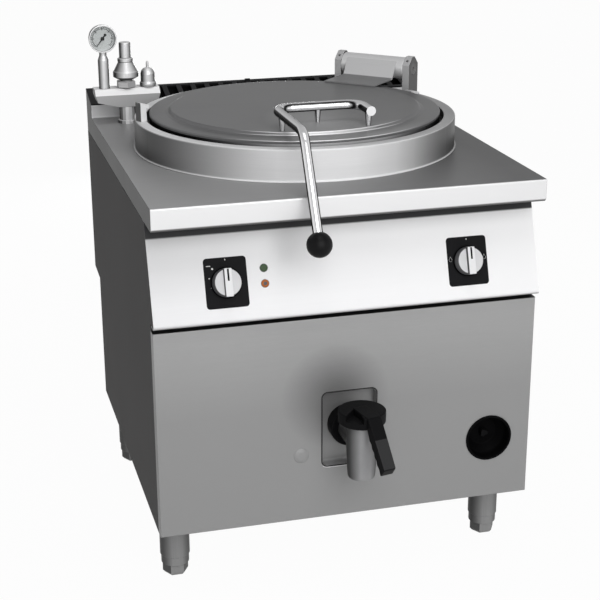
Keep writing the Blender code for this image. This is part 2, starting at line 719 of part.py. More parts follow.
def valve_tray():
    """Shallow pressed recess behind the drain valve, flush with the front sheet."""
    outer = rounded_rectangle(TRAY_WIDTH, TRAY_HEIGHT, TRAY_CORNER)
    inner = rounded_rectangle(TRAY_WIDTH - 2 * SHEET, TRAY_HEIGHT - 2 * SHEET, TRAY_CORNER - SHEET)
    floor_y = FRONT_PANEL_Y + TRAY_DEPTH
    tray = place("valve_tray", slab_mesh("valve_tray", moved(outer, 0, TRAY_Z),
                                         FRONT_PANEL_Y, floor_y + SHEET, "Y"), STEEL)
    hollow = slab_mesh("tray_hollow", moved(inner, 0, TRAY_Z), FRONT_PANEL_Y - 0.01, floor_y, "Y")
    combine(tray, cutter("tray_hollow", hollow))
    combine(tray, rod_cutter("tail_hole", TAIL_R + GAP, 0, floor_y + 0.02, SMALL,
                             location=(0, 0, DRAIN_Z), rotation=(-pi / 2, 0, 0)))


def cabinet_frame():
    """Welded frame: base rails on four legs, posts under the jacket and the rail in front."""
    side = HALF - SHEET - GAP
    low, high = CABINET_Z, CABINET_Z + RAIL
    front = FRONT_PANEL_Y + FRONT_FOLD + GAP
    rear = DEPTH - REAR_STEP - SHEET - GAP
    stand = POST_CIRCLE * sqrt(0.5)
    frame = place("cabinet_frame", box_mesh("cabinet_frame", [((-side, front, low),
                                                               (RAIL - side, rear, high))]),
                  DARK_STEEL)
    inset, sill = 0.002, FRONT_TOP_Z - 0.030
    members = [((side - RAIL, front, low), (side, rear, high))]
    for y in (LEG_FRONT_Y, LEG_REAR_Y):
        members.append(((inset - side, y - LEG_R - inset, low + inset),
                        (side - inset, y + LEG_R + inset, high - inset)))
    for x in (-stand, stand):
        members.append(((x - POST_R, LEG_FRONT_Y, low + 2 * inset),
                        (x + POST_R, LEG_REAR_Y, high - 2 * inset)))
    for x in (-side + inset, side - RAIL):
        members.append(((x, front + inset, high - inset), (x + RAIL - inset, front + 0.028, sill + inset)))
    members.append(((-side, front, sill), (side, front + 0.030, PANEL_LOW_Z - PANEL_LIP - 0.006)))
    for number, member in enumerate(members):
        name = "member_%d" % number
        combine(frame, cutter(name, box_mesh(name, [member])), "UNION")
    for number, (sx, sy) in enumerate(((-1, -1), (1, -1), (-1, 1), (1, 1))):
        post = rod_cutter("post_%d" % number, POST_R - inset, low + 3 * inset, JACKET_Z - GAP, TINY,
                          location=(sx * stand, CENTRE_Y + sy * stand, 0))
        combine(frame, post, "UNION")
    legs(frame)


def legs(frame):
    """Four round legs under the cross rails, bored for the stems of the feet."""
    bore, low, ring = free_bore(FOOT_STEM_R, SMALL), FOOT_H + GAP, LEG_COLLAR_Z
    top, depth = CABINET_Z + RAIL / 2, FOOT_H + FOOT_STEM_GRIP + 0.004
    profile = [(bore, low), (LEG_COLLAR_R, low), (LEG_COLLAR_R, ring), (LEG_R, ring),
               (LEG_R, top), (0, top), (0, depth), (bore, depth)]
    spots = [(x, y, 0) for x, y in LEG_PLACES]
    tubes = copies_mesh("leg_tubes", turned_mesh("leg", [profile], SMALL), spots)
    combine(frame, cutter("leg_tubes", tubes), "UNION")


def feet():
    """Hexagonal feet, which screw up and down in the legs to level the kettle."""
    names = ("foot_front_left", "foot_front_right", "foot_rear_left", "foot_rear_right")
    for name, (x, y) in zip(names, LEG_PLACES):
        foot = turned(name, [(0, 0), (FOOT_HEX - 0.005, 0), (FOOT_HEX, 0.006),
                             (FOOT_HEX, FOOT_H), (0, FOOT_H)], 6, STEEL, location=(x, y, 0))
        stem = rod_cutter(name + "_stem", FOOT_STEM_R, FOOT_H - 0.005, FOOT_H + FOOT_STEM_GRIP,
                          SMALL, location=(x, y, 0))
        combine(foot, stem, "UNION")


def flue_grille():
    """Black grille over the rear of the worktop: a frame with bars from front to back."""
    thick, bar, pitch = 0.003, 0.012, 0.035
    run = UPSTAND_FROM_REAR
    length = hypot(run, REAR_RISE - UPSTAND_HEIGHT)
    tilt = atan2(REAR_RISE - UPSTAND_HEIGHT, run)
    plate = place("flue_grille", box_mesh("flue_grille", [((-HALF, 0, 0), (HALF, length, thick))]),
                  BLACK, location=(0, UPSTAND_Y, slope_z(UPSTAND_Y) + GAP), rotation=(tilt, 0, 0))
    count = int((WIDTH - 2 * bar) / pitch)
    slots = []
    for i in range(count):
        x = (i - (count - 1) / 2) * pitch
        slots.append(((x - (pitch - bar) / 2, GRILLE_LIP, -0.01),
                      (x + (pitch - bar) / 2, length - GRILLE_LIP, thick + 0.01)))
    combine(plate, cutter("grille_slots", box_mesh("grille_slots", slots),
                          location=plate.location, rotation=plate.rotation_euler))
    tab = box_mesh("grille_tab", [((-0.0065, length - 0.006, thick / 2), (0.0065, length - 0.001, 0.006))])
    combine(plate, cutter("grille_tab", tab, location=plate.location,
                          rotation=plate.rotation_euler), "UNION")


def inner_vessel():
    """Cooking vessel with a seat for the lid, a rounded bottom and a drain in its middle."""
    r, w, k = VESSEL_R, VESSEL_WALL, VESSEL_KNUCKLE
    seat_r = RING_INNER_R + TOP_SHEET + 0.002
    floor = VESSEL_FLOOR
    knuckle = (r - k, floor + VESSEL_FALL + k)
    profile = [(seat_r, LEDGE_Z - w), (seat_r, LEDGE_Z), (r + 0.004, LEDGE_Z), (r, LEDGE_Z - 0.004)]
    profile += arc(knuckle, k, 0, -90, 3)
    profile += [(DRAIN_BORE, floor), (DRAIN_BORE, floor - w)]
    profile += arc(knuckle, k + w, -90, 0, 3)
    profile += [(r + w, LEDGE_Z - w)]
    turned("inner_vessel", profile, FINE, STEEL, location=(0, CENTRE_Y, 0))


def steam_jacket():
    """Outer shell that holds the steam round the vessel's wall and bottom."""
    r, t, k, low = JACKET_R, VESSEL_WALL, JACKET_KNUCKLE, JACKET_Z
    knuckle = (r - k, low + k)
    mouth = VESSEL_OUT_R + GAP
    profile = [(mouth, JACKET_TOP), (r, JACKET_TOP)]
    profile += arc(knuckle, k, 0, -90, 2)
    profile += [(0, low), (0, low + t)]
    profile += arc(knuckle, k - t, -90, 0, 2)
    profile += [(r - t, JACKET_TOP - t), (mouth, JACKET_TOP - t)]
    shell = turned("steam_jacket", profile, FINE, STEEL, location=(0, CENTRE_Y, 0))
    wall = (JACKET_R - k, JACKET_R + k)
    combine(shell, rod_cutter("drain_pipe_hole", free_bore(TAIL_R, SMALL), -wall[1], -wall[0], SMALL,
                              location=(0, CENTRE_Y, DRAIN_Z), rotation=(-pi / 2, 0, 0)))
    combine(shell, rod_cutter("element_hole", ELEMENT_NECK_R + GAP, *wall, SMALL,
                              location=(0, CENTRE_Y, ELEMENT_Z), rotation=(-pi / 2, 0, 0)))


def heating_elements():
    """Three hairpin rods in the bottom of the jacket, and the flange at the back that holds them."""
    wall = CENTRE_Y + JACKET_R
    neck_in, seat, cover = wall - 0.020, wall + GAP, wall + 0.010
    heads = turned("heating_elements", [(0, neck_in), (ELEMENT_NECK_R, neck_in),
                                        (ELEMENT_NECK_R, seat), (ELEMENT_FLANGE_R, seat),
                                        (ELEMENT_FLANGE_R, cover), (ELEMENT_NECK_R, cover),
                                        (ELEMENT_NECK_R, cover + 0.014), (0, cover + 0.014)],
                   SMALL, BRASS, location=(0, 0, ELEMENT_Z), rotation=(-pi / 2, 0, 0))
    bend = ELEMENT_PITCH * 0.3
    front = CENTRE_Y - JACKET_R + 2 * JACKET_KNUCKLE
    hairpins = []
    for x in (-ELEMENT_PITCH, 0, ELEMENT_PITCH):
        turn = [(a, b, 0) for a, b in arc((x, front), bend, 180, 360, 4)]
        hairpins.append([(x - bend, neck_in + 0.004, 0)] + turn + [(x + bend, neck_in + 0.004, 0)])
    rods = swept_mesh("hairpins", hairpins, ELEMENT_R, 6)
    combine(heads, cutter("hairpins", rods, location=(0, 0, ELEMENT_Z)), "UNION")


def insulation_wrap():
    low, high = INSULATION_Z
    inner, outer = JACKET_R + GAP, JACKET_R + INSULATION
    turned("insulation_wrap", [(inner, low), (outer, low), (outer, high), (inner, high)],
           FINE, WOOL, location=(0, CENTRE_Y, 0))


def drain_pipe():
    """Pipe from the middle of the vessel's bottom, round a bend and out to the valve's tail."""
    high, end = VESSEL_FLOOR - VESSEL_WALL - GAP, TAIL_REACH + GAP
    bend = (0, CENTRE_Y, DRAIN_Z)
    route = rounded_path([(0, CENTRE_Y, high), bend, (0, end, DRAIN_Z)], DRAIN_BEND, 4)
    pipe = place("drain_pipe", swept_mesh("drain_pipe", [route], TAIL_R, SMALL), STEEL)
    through = rounded_path([(0, CENTRE_Y, high + 0.01), bend, (0, end - 0.01, DRAIN_Z)], DRAIN_BEND, 4)
    bore = swept_mesh("drain_pipe_bore", [through], DRAIN_BORE + 0.001, SMALL)
    combine(pipe, cutter("drain_pipe_bore", bore))


def drain_valve():
    """Plug valve: a tapered spout with a tail through the tray, its black flange and its plug."""
    top, foot = CAP_Z - GAP, VALVE_FOOT
    seat_low = CAP_Z - VALVE_SEAT_H
    body = turned("drain_valve_body", [(0, foot), (VALVE_MOUTH_R - 0.0015, foot),
                                       (VALVE_MOUTH_R, foot + 0.004),
                                       (VALVE_MOUTH_R + 0.0015, foot + 0.025),
                                       (VALVE_TOP_R, DRAIN_Z), (VALVE_TOP_R, top), (0, top)],
                  MEDIUM, STEEL, location=(0, VALVE_Y, 0))
    reach = TAIL_REACH - VALVE_Y
    lying = dict(location=(0, VALVE_Y, DRAIN_Z), rotation=(-pi / 2, 0, 0))
    combine(body, rod_cutter("valve_tail", TAIL_R, 0.001, reach, SMALL, **lying), "UNION")
    bore = turned_mesh("valve_bore", [[(0, foot - 0.01), (VALVE_SEAT_LOW_R, foot - 0.01),
                                       (VALVE_SEAT_LOW_R, seat_low), (VALVE_SEAT_R, CAP_Z),
                                       (VALVE_SEAT_R, CAP_Z + 0.01), (0, CAP_Z + 0.01)]], MEDIUM)
    combine(body, cutter("valve_bore", bore, location=(0, VALVE_Y, 0)))
    combine(body, rod_cutter("tail_bore", DRAIN_BORE, 0.0015, reach + 0.01, SMALL, **lying))

    floor_y = FRONT_PANEL_Y + TRAY_DEPTH
    inner = TAIL_R + GAP
    front = FRONT_PANEL_Y - FLANGE_PROUD
    turned("valve_flange", [(inner, front), (FLANGE_R - 0.003, front), (FLANGE_R, front + 0.003),
                            (FLANGE_R, floor_y - GAP), (inner, floor_y - GAP)], SMALL, BLACK,
           location=(0, 0, DRAIN_Z), rotation=(-pi / 2, 0, 0))

    snug = cos(pi / MEDIUM)
    plug_top, plug_low = CAP_Z - 0.001, seat_low + 0.002
    r_top, r_low = VALVE_SEAT_R * snug - 0.0005, VALVE_SEAT_LOW_R * snug - 0.0004
    hollow_r = r_low - PLUG_WALL
    plug = turned("drain_plug", [(hollow_r, plug_low), (r_low, plug_low), (r_top, plug_top - 0.001),
                                 (r_top - 0.001, plug_top), (PLUG_STEM_R, plug_top),
                                 (PLUG_STEM_R, CAP_Z + PLUG_STEM_H), (0, CAP_Z + PLUG_STEM_H),
                                 (0, plug_top - 0.010), (hollow_r, plug_top - 0.010)],
                  MEDIUM, BRASS, location=(0, VALVE_Y, 0))
    combine(plug, rod_cutter("plug_window", hollow_r, 0.001, 0.05, SMALL,
                             location=(0, VALVE_Y, DRAIN_Z), rotation=(0, pi / 2, 0)))


def drain_handle():
    """Black moulded cap over the plug, with a lever that bends down over the spout."""
    low, high = CAP_Z, CAP_Z + CAP_H
    cap = turned("drain_handle", [(0, low), (CAP_R - 0.003, low), (CAP_R, low + 0.004),
                                  (CAP_R, high - 0.002), (CAP_R - 0.002, high), (0, high)],
                 MEDIUM, BLACK, location=(0, VALVE_Y, 0))
    rim = CAP_R + 0.012
    notch = [(-0.010, 0.012), (-rim, -0.045), (-rim, -rim), (-0.010, -rim)]
    slot = slab_mesh("cap_notch", notch, high - NOTCH_DEPTH, high + 0.01, "Z")
    combine(cap, cutter("cap_notch", slot, location=(0, VALVE_Y, 0)))

    out, down = cos(ARM_SLOPE), -sin(ARM_SLOPE)
    start, proud = -0.012, high + 0.0015
    bend = (CAP_R + 0.002, proud)
    tip = (bend[0] + ARM_LENGTH * out, bend[1] + ARM_LENGTH * down)
    outline = [(start, high - NOTCH_DEPTH - 0.001), (start, proud), bend, tip]
    fingers, depth = 4, 0.0022
    grip = ARM_LENGTH * 0.62
    for i in range(2 * fingers + 1):
        along = ARM_LENGTH - grip * i / (2 * fingers)
        thick = ARM_THICK - (depth if i % 2 else 0)
        outline.append((bend[0] + along * out + thick * down, bend[1] + along * down - thick * out))
    outline += [(CAP_R - 0.003, low + 0.006)]
    arm = slab_mesh("handle_arm", outline, -0.5, 0.5)
    reach = tip[0] - bend[0]
    for corner in arm.vertices:
        share = min(max((corner.co.y - bend[0]) / reach, 0), 1)
        width = ARM_WIDTH + (ARM_END_WIDTH - ARM_WIDTH) * share
        corner.co.x *= width
        corner.co.y *= -1
    arm.flip_normals()
    lever = cutter("handle_arm", arm, location=(0, VALVE_Y, 0), rotation=(0, 0, ARM_TURN))
    soften = lever.modifiers.new("edges", "BEVEL")
    soften.width = 0.002
    soften.segments = 1
    soften.limit_method = "ANGLE"
    soften.angle_limit = radians(50)
    combine(cap, lever, "UNION")
    combine(cap, rod_cutter("stem_socket", PLUG_STEM_R + GAP, low - 0.01, low + PLUG_STEM_H + GAP,
                            MEDIUM, location=(0, VALVE_Y, 0)))


def level_tap():
    """Black cup sunk in the front sheet, with the winged knob of the level tap at its bottom."""
    facing = dict(location=(CUP_X, FRONT_PANEL_Y, CUP_Z), rotation=(-pi / 2, 0, 0))
    lip, w = CUP_LIP, CUP_WALL
    neck = CUP_R - lip - GAP
    mouth, floor_r = neck - w, 0.030
    bore, back = free_bore(SHAFT_R * 0.8, MEDIUM), CUP_DEPTH + w + 0.004
    profile = [(mouth, -lip + 0.001), (mouth + 0.001, -lip), (CUP_R - 0.001, -lip),
               (CUP_R, -lip + 0.001), (CUP_R, -GAP), (neck, -GAP), (neck, CUP_DEPTH * 0.55),
               (floor_r + w, CUP_DEPTH + w), (SHAFT_R * 2, CUP_DEPTH + w),
               (SHAFT_R * 2, CUP_DEPTH + 0.012), (0, CUP_DEPTH + 0.012), (0, back),
               (bore, back), (bore, CUP_DEPTH), (floor_r, CUP_DEPTH),
               (mouth, CUP_DEPTH * 0.55)]
    cup = turned("level_cup", profile, MEDIUM, BLACK, **facing)
    nick = box_mesh("cup_nick", [((-0.002, CUP_R - 0.0015, -0.01), (0.002, CUP_R + 0.01, 0))])
    combine(cup, cutter("cup_nick", nick, **facing))

    lobe = LOBE_R * 0.52
    centre = LOBE_R - lobe
    outline = []
    for wing in (0, 120, 240):
        a = radians(wing)
        outline += arc((centre * cos(a), centre * sin(a)), lobe, wing - 75, wing + 75, 5)
    data = slab_mesh("level_knob", outline, CUP_DEPTH - 0.014, CUP_DEPTH - 0.002, "Z", smooth=True)
    knob = place("level_knob", data, BLACK, **facing)
    stem = rod_cutter("level_knob_stem", SHAFT_R * 0.8, CUP_DEPTH - 0.004, back - GAP, TINY,
                      **facing)
    combine(knob, stem, "UNION")


def reset_cap():
    """Cap in the front sheet, over the reset of the limit thermostat."""
    facing = dict(location=(RESET_X, FRONT_PANEL_Y, RESET_Z), rotation=(-pi / 2, 0, 0))
    shank = RESET_R * 0.7 - GAP
    turned("reset_cap", [(0, -0.0035), (RESET_R * 0.55, -0.003), (RESET_R - 0.002, -0.0015),
                         (RESET_R, -GAP), (shank, -GAP), (shank, SHEET + 0.003),
                         (0, SHEET + 0.003)], SMALL, STEEL, **facing)


def round_controls():
    """Left regulator and right water selector: plate, bezel and knob, and the switches behind."""
    base = GAP
    knob_base = base + PLATE_THICK + GAP
    inside, body = -SHEET - GAP, 0.023
    for x, plate_name, knob_name, switch_name in (
            (-KNOB_X, "regulator_plate", "regulator_knob", "heat_regulator"),
            (KNOB_X, "water_plate", "water_knob", "water_selector")):
        spot = dict(parent=PANEL, location=(x, 0, 0))
        outline = rounded_rectangle(PLATE_WIDTH, PLATE_HEIGHT, PLATE_CORNER, 2)
        plate = place(plate_name, slab_mesh(plate_name, outline, base, base + PLATE_THICK, "Z"),
                      BLACK, **spot)
        bezel = turned_mesh(plate_name + "_bezel",
                            [[(0, base + 0.0005), (BEZEL_R, base + 0.0005),
                              (BEZEL_R, base + PLATE_THICK + BEZEL_H - 0.001),
                              (BEZEL_R - 0.001, base + PLATE_THICK + BEZEL_H),
                              (0, base + PLATE_THICK + BEZEL_H)]], SMALL)
        combine(plate, cutter(plate_name + "_bezel", bezel, **spot), "UNION")
        well = free_bore(KNOB_R, SMALL)
        combine(plate, rod_cutter(plate_name + "_well", well, knob_base - GAP, 0.05, SMALL, **spot))
        combine(plate, rod_cutter(plate_name + "_hole", free_bore(SHAFT_R, TINY), -0.01, 0.02,
                                  TINY, **spot))
        face = knob_base + KNOB_H
        knob = turned(knob_name, [(0, knob_base), (KNOB_R, knob_base), (KNOB_R, knob_base + 0.005),
                                  (KNOB_FACE_R, face - 0.002), (KNOB_FACE_R - 0.002, face),
                                  (0, face)], SMALL, SILVER, **spot)
        half, length = GRIP_WIDTH / 2, KNOB_FACE_R + 0.0015
        bm = bmesh.new()
        box_into(bm, (-half, -length, face - 0.008), (half, length, face + GRIP_H))
        top = [e for e in bm.edges if min(v.co.z for v in e.verts) > face]
        bmesh.ops.bevel(bm, geom=top, offset=0.0025, segments=1, affect="EDGES")
        combine(knob, cutter(knob_name + "_grip", mesh_from(bm, knob_name + "_grip", False), **spot),
                "UNION")
        line = box_mesh(knob_name + "_mark", [((-0.001, 0, face + GRIP_H - 0.001),
                                               (0.001, length + 0.01, face + GRIP_H + 0.01))])
        combine(knob, cutter(knob_name + "_mark", line, **spot))
        combine(knob, rod_cutter(knob_name + "_shaft", SHAFT_R, -0.012, knob_base + 0.004, TINY,
                                 **spot), "UNION")
        housing = box_mesh(switch_name, [((-body, -body, inside - 0.034), (body, body, inside))])
        switch = place(switch_name, housing, BLACK, **spot)
        combine(switch, rod_cutter(switch_name + "_socket", free_bore(SHAFT_R, TINY), -0.014, 0.01,
                                   TINY, **spot))


def pilot_lamps():
    """Green and amber lamps between the left plate and the middle of the panel."""
    body = LAMP_R * 0.7
    for name, along, finish in (("green_lamp", LAMP_ALONG, GREEN),
                                ("amber_lamp", LAMP_ALONG - LAMP_SPACING, AMBER)):
        turned(name, [(0, -0.022), (body, -0.022), (body, GAP), (LAMP_R, GAP), (LAMP_R, 0.002),
                      (LAMP_R * 0.75, 0.0038), (0, 0.0045)], TINY, finish,
               parent=PANEL, location=(LAMP_X, along, 0))


def safety_riser():
    """Steam riser with its pipe from the jacket, and the manifold box that stands on it."""
    low = WORKTOP_Z - TOP_SHEET - 0.010
    foot = WORKTOP_Z + GAP
    riser = turned("steam_riser", [(0, low), (RISER_R, low), (RISER_R, foot),
                                   (RISER_R + 0.0035, foot), (RISER_R + 0.0035, foot + 0.007),
                                   (RISER_R, foot + 0.008), (RISER_R, MANIFOLD_LOW - GAP),
                                   (0, MANIFOLD_LOW - GAP)],
                   SMALL, STEEL, location=(RISER_X, RISER_Y, 0))
    inward = Vector((-RISER_X, CENTRE_Y - RISER_Y, 0)).normalized()
    level = JACKET_TOP - 0.035
    stop = Vector((0, CENTRE_Y, level)) - inward * (JACKET_R + 0.0006)
    path = rounded_path([(RISER_X, RISER_Y, low + 0.004), (RISER_X, RISER_Y, level), stop], 0.024, 4)
    pipe = swept_mesh("steam_pipe", [path], 0.013, TINY)
    combine(riser, cutter("steam_pipe", pipe), "UNION")

    half = MANIFOLD_WIDTH / 2
    shoulder = MANIFOLD_LOW + 0.012
    outline = [(-RISER_R, MANIFOLD_LOW), (RISER_R, MANIFOLD_LOW), (half - 0.005, shoulder),
               (half, MANIFOLD_TOP - MANIFOLD_CHAMFER), (half, MANIFOLD_TOP),
               (-half, MANIFOLD_TOP), (-half, MANIFOLD_TOP - MANIFOLD_CHAMFER),
               (0.005 - half, shoulder)]
    data = slab_mesh("manifold_box", outline, MANIFOLD_Y, MANIFOLD_Y + MANIFOLD_DEPTH, "Y")
    box = place("manifold_box", data, BRIGHT, location=(RISER_X, 0, 0))
    far, c = half + 0.01, MANIFOLD_CHAMFER
    wedge = [(MANIFOLD_Y - 0.01, MANIFOLD_TOP - c - 0.01), (MANIFOLD_Y + c + 0.01, MANIFOLD_TOP + 0.01),
             (MANIFOLD_Y - 0.01, MANIFOLD_TOP + 0.01)]
    combine(box, cutter("manifold_bevel", slab_mesh("manifold_bevel", wedge, -far, far),
                        location=(RISER_X, 0, 0)))


def pressure_gauge():
    """Gauge on its stem: case, dial, needle and lens, all facing the cook."""
    x, base = RISER_X - FITTING_SPACING, MANIFOLD_TOP + GAP
    r, neck = GAUGE_STEM_R, GAUGE_NECK_R
    turned("gauge_stem", [(0, base), (r, base), (r, base + GAUGE_STEM_H * 0.80),
                          (neck, base + GAUGE_STEM_H * 0.92), (neck, base + GAUGE_STEM_H - 2 * GAP),
                          (0, base + GAUGE_STEM_H - 2 * GAP)], TINY, STEEL,
           location=(x, FITTING_Y, 0))
    facing = dict(location=(x, FITTING_Y, GAUGE_Z), rotation=(pi / 2, 0, 0))
    half, rim = GAUGE_DEPTH / 2, 0.003
    dial_r, lens_r, dial_z = GAUGE_R - rim, GAUGE_R - rim, half - 0.009
    turned("gauge_case", [(0, -half), (GAUGE_R - 0.004, -half), (GAUGE_R - 0.002, 0.002 - half),
                          (GAUGE_R - 0.002, half - 0.007), (GAUGE_R, half - 0.006),
                          (GAUGE_R, half - 0.001), (GAUGE_R - 0.001, half),
                          (dial_r, half), (dial_r, dial_z - 0.001), (0, dial_z - 0.001)],
           DIAL, STEEL, **facing)
    turned("gauge_dial", [(0, dial_z - 0.001 + GAP), (dial_r - GAP, dial_z - 0.001 + GAP),
                          (dial_r - GAP, dial_z + 0.0005), (0, dial_z + 0.0005)],
           DIAL, WHITE, **facing)
    turned("gauge_lens", [(0, half - 0.0025), (lens_r - GAP, half - 0.0025),
                          (lens_r - GAP, half - 0.001), (0, half - 0.001)],
           DIAL, GLASS, **facing)
    low = dial_z + 0.0005 + GAP
    outline = [(-0.0014, 0.013), (-0.0022, 0.0105), (-0.0010, 0.007), (-0.0012, 0),
               (-0.0003, -0.024), (0.0003, -0.024), (0.0012, 0), (0.0010, 0.007),
               (0.0022, 0.0105), (0.0014, 0.013)]
    needle = place("gauge_needle", slab_mesh("gauge_needle", outline, low + 0.001, low + 0.002, "Z"),
                   BLACK, location=facing["location"], rotation=(pi / 2, NEEDLE_REST, 0))
    hub = rod_cutter("needle_hub", 0.0032, low, half - 0.0025 - GAP, TINY, **facing)
    combine(needle, hub, "UNION")


def safety_valve():
    """Spring-loaded relief valve: hexagonal base, bell, and a cap that lifts to test it."""
    x, base = RISER_X, MANIFOLD_TOP + GAP
    spot = dict(location=(x, FITTING_Y, 0))
    bell = turned("safety_valve_body", [(0, base + 0.002), (0.012, base + 0.002),
                                        (0.014, base + 0.018), (0.0225, base + 0.0215),
                                        (0.0295, base + 0.0255), (0.0295, base + 0.037),
                                        (0.027, base + 0.040), (0.0165, base + 0.060),
                                        (0.018, base + 0.061), (0.018, base + 0.067),
                                        (0.0155, base + 0.069), (RELIEF_GUIDE_R, base + 0.069),
                                        (RELIEF_GUIDE_R, base + 0.084), (0, base + 0.084)],
                  DIAL, STEEL, **spot)
    nut = turned_mesh("valve_nut", [[(0, base), (0.021, base), (0.023, base + 0.002),
                                     (0.023, base + 0.014), (0.021, base + 0.016),
                                     (0, base + 0.016)]], 6, radians(30))
    combine(bell, cutter("valve_nut", nut, **spot), "UNION")
    bore = free_bore(RELIEF_GUIDE_R, DIAL)
    low, high = base + 0.069 + GAP, base + 0.105
    turned("safety_valve_cap", [(bore, low), (0.0135, low), (0.0135, high - 0.002),
                                (0.0120, high), (0, high), (0, base + 0.084 + GAP),
                                (bore, base + 0.084 + GAP)], DIAL, STEEL, **spot)


def vacuum_valve():
    """Air inlet valve with a domed body and a small sprung pin on top."""
    x, base = RISER_X + FITTING_SPACING, MANIFOLD_TOP + GAP
    spot = dict(location=(x, FITTING_Y, 0))
    bore = free_bore(0.003, SMALL)
    turned("vacuum_valve_body", [(0, base), (0.0175, base), (0.0190, base + 0.005),
                                 (0.0190, base + 0.009), (0.0165, base + 0.012),
                                 (0.0165, base + 0.030), (0.0145, base + 0.037),
                                 (0.0095, base + 0.042), (bore, base + 0.044),
                                 (bore, base + 0.034), (0, base + 0.034)], SMALL, STEEL, **spot)
    turned("vacuum_valve_pin", [(0, base + 0.038), (0.003, base + 0.038), (0.003, base + 0.054),
                                (0.0022, base + 0.058), (0, base + 0.059)], TINY, STEEL, **spot)


def water_services():
    """Twin water valve on the rear step, its pipe to the spout, and the gland for the cable."""
    step_top = REAR_STEP_Z + REAR_STEP_CHAMFER + 0.004
    half = VALVE_BLOCK / 2
    boxes = [((INLET_X[0] - half, SERVICE_Y - half, step_top),
              (INLET_X[1] + half, SERVICE_Y + half, step_top + VALVE_BLOCK))]
    valve = place("water_valve", box_mesh("water_valve", boxes), BRASS)
    for name, x in zip(("inlet_left", "inlet_right"), INLET_X):
        combine(valve, rod_cutter(name, INLET_R, REAR_STEP_Z - INLET_REACH, step_top + 0.005, TINY,
                                  location=(x, SERVICE_Y, 0)), "UNION")
        combine(valve, rod_cutter(name + "_coil", COIL_R, step_top + VALVE_BLOCK - 0.005,
                                  step_top + VALVE_BLOCK + COIL_H, TINY,
                                  location=(x, SERVICE_Y, 0)), "UNION")
    side = SHEET + WATER_PIPE_R + PIPE_FROM_SIDE - HALF
    start = ((INLET_X[0] + INLET_X[1]) / 2, SERVICE_Y, step_top + VALVE_BLOCK + GAP)
    rise, under = REAR_STEP_Z + PIPE_RISE, WORKTOP_Z - PIPE_BELOW_TOP
    path = rounded_path([start, (start[0], start[1], rise),
                         (side, SERVICE_Y - PIPE_FORWARD, rise + PIPE_SLANT),
                         (side, SPOUT_Y, under - PIPE_STRAIGHT), (side, SPOUT_Y, under),
                         (SPOUT_X, SPOUT_Y, under), (SPOUT_X, SPOUT_Y, RING_Z)], WATER_BEND, 3)
    bar_curve("water_pipe", path, WATER_PIPE_R, 1, CHROME)

    foot, top = REAR_STEP_Z - 0.024, step_top + 0.014
    turned("cable_gland", [(0.006, foot), (0.012, foot), (0.016, foot + 0.008),
                           (0.016, REAR_STEP_Z - 0.002), (GLAND_R, REAR_STEP_Z - 0.002),
                           (GLAND_R, step_top), (0.015, step_top), (0.015, top), (0.006, top)],
           TINY, BLACK, location=(GLAND_X, SERVICE_Y, 0))


def lid():
    """Double-skinned lid: a pressed top with a raised disc and a liner that drips inward."""
    t, r, disc = SHEET, LID_R, LID_DISC_R
    shell = [(r, LID_BASE), (r, LID_RIM_Z - 0.003), (r - 0.003, LID_RIM_Z), (disc + 0.012, LID_RIM_Z),
             (disc + 0.004, LID_RIM_Z + 0.002), (disc, LID_TOP - 0.001), (disc - 0.003, LID_TOP),
             (0, LID_TOP), (0, LID_TOP - t), (disc - 0.004, LID_TOP - t),
             (disc + 0.003, LID_RIM_Z - t + 0.001), (disc + 0.011, LID_RIM_Z - t),
             (r - 0.004, LID_RIM_Z - t), (r - t, LID_RIM_Z - 0.004), (r - t, LID_BASE)]
    turned("lid_shell", shell, FINE, STEEL, location=(0, CENTRE_Y, 0))
    edge, drip = r - t - GAP, LID_DRIP_R
    liner = [(edge, LID_BASE), (edge, LID_BASE + t), (drip, LID_BASE + t), (drip - 0.006, LID_BASE - LID_DRIP_H + t),
             (0, LID_BASE - LID_DRIP_H + t + 0.004), (0, LID_BASE - LID_DRIP_H + 0.004),
             (drip - 0.006, LID_BASE - LID_DRIP_H), (drip, LID_BASE)]
    turned("lid_liner", liner, FINE, STEEL, location=(0, CENTRE_Y, 0))


def lid_handle():
    """Bent chrome tube on three posts, with a ball on the lever that hangs over the front."""
    x, z = HANDLE_HALF, HANDLE_Z
    lean = (0, -sin(LEVER_LEAN), -cos(LEVER_LEAN))
    knee = Vector((-x, HANDLE_BEND_Y, z))
    end = knee + Vector(lean) * LEVER_LENGTH
    corner = [(x, HANDLE_ARM_Y, z), (x, HANDLE_BACK_Y, z), (-x, HANDLE_BACK_Y, z), knee]
    bends = rounded_path(corner, HANDLE_CORNER, 4)
    tail = rounded_path([bends[-2], knee, end], HANDLE_KNEE, 4)
    tube = swept_mesh("lid_handle", [bends[:-1] + tail[1:]], HANDLE_R, HANDLE_SIDES)
    handle = place("lid_handle", tube, CHROME)
    knob_centre = end + Vector(lean) * (BALL_R - BALL_FLAT + GAP)
    aim = Vector(lean).to_track_quat("Z", "Y").to_euler()
    start = -(BALL_R - BALL_FLAT)
    profile = [(0, start)]
    first = acos(start / BALL_R)
    for i in range(8):
        a = first * (1 - i / 8)
        profile.append((BALL_R * sin(a), BALL_R * cos(a)))
    turned("ball_knob", profile + [(0, BALL_R)], SMALL, BLACK, location=knob_centre, rotation=aim)
    low, high, post_y = LID_TOP + GAP, HANDLE_Z - HANDLE_R / 2, HANDLE_ARM_Y + POST_FROM_END
    post = turned_mesh("post", [[(0, low), (POST_LOW_R + 0.002, low), (POST_LOW_R, low + 0.003),
                                 (POST_TOP_R, high), (0, high)]], TINY)
    spots = [(-x, post_y, 0), (0, HANDLE_BACK_Y, 0), (x, post_y, 0)]
    combine(handle, cutter("handle_posts", copies_mesh("handle_posts", post, spots)), "UNION")


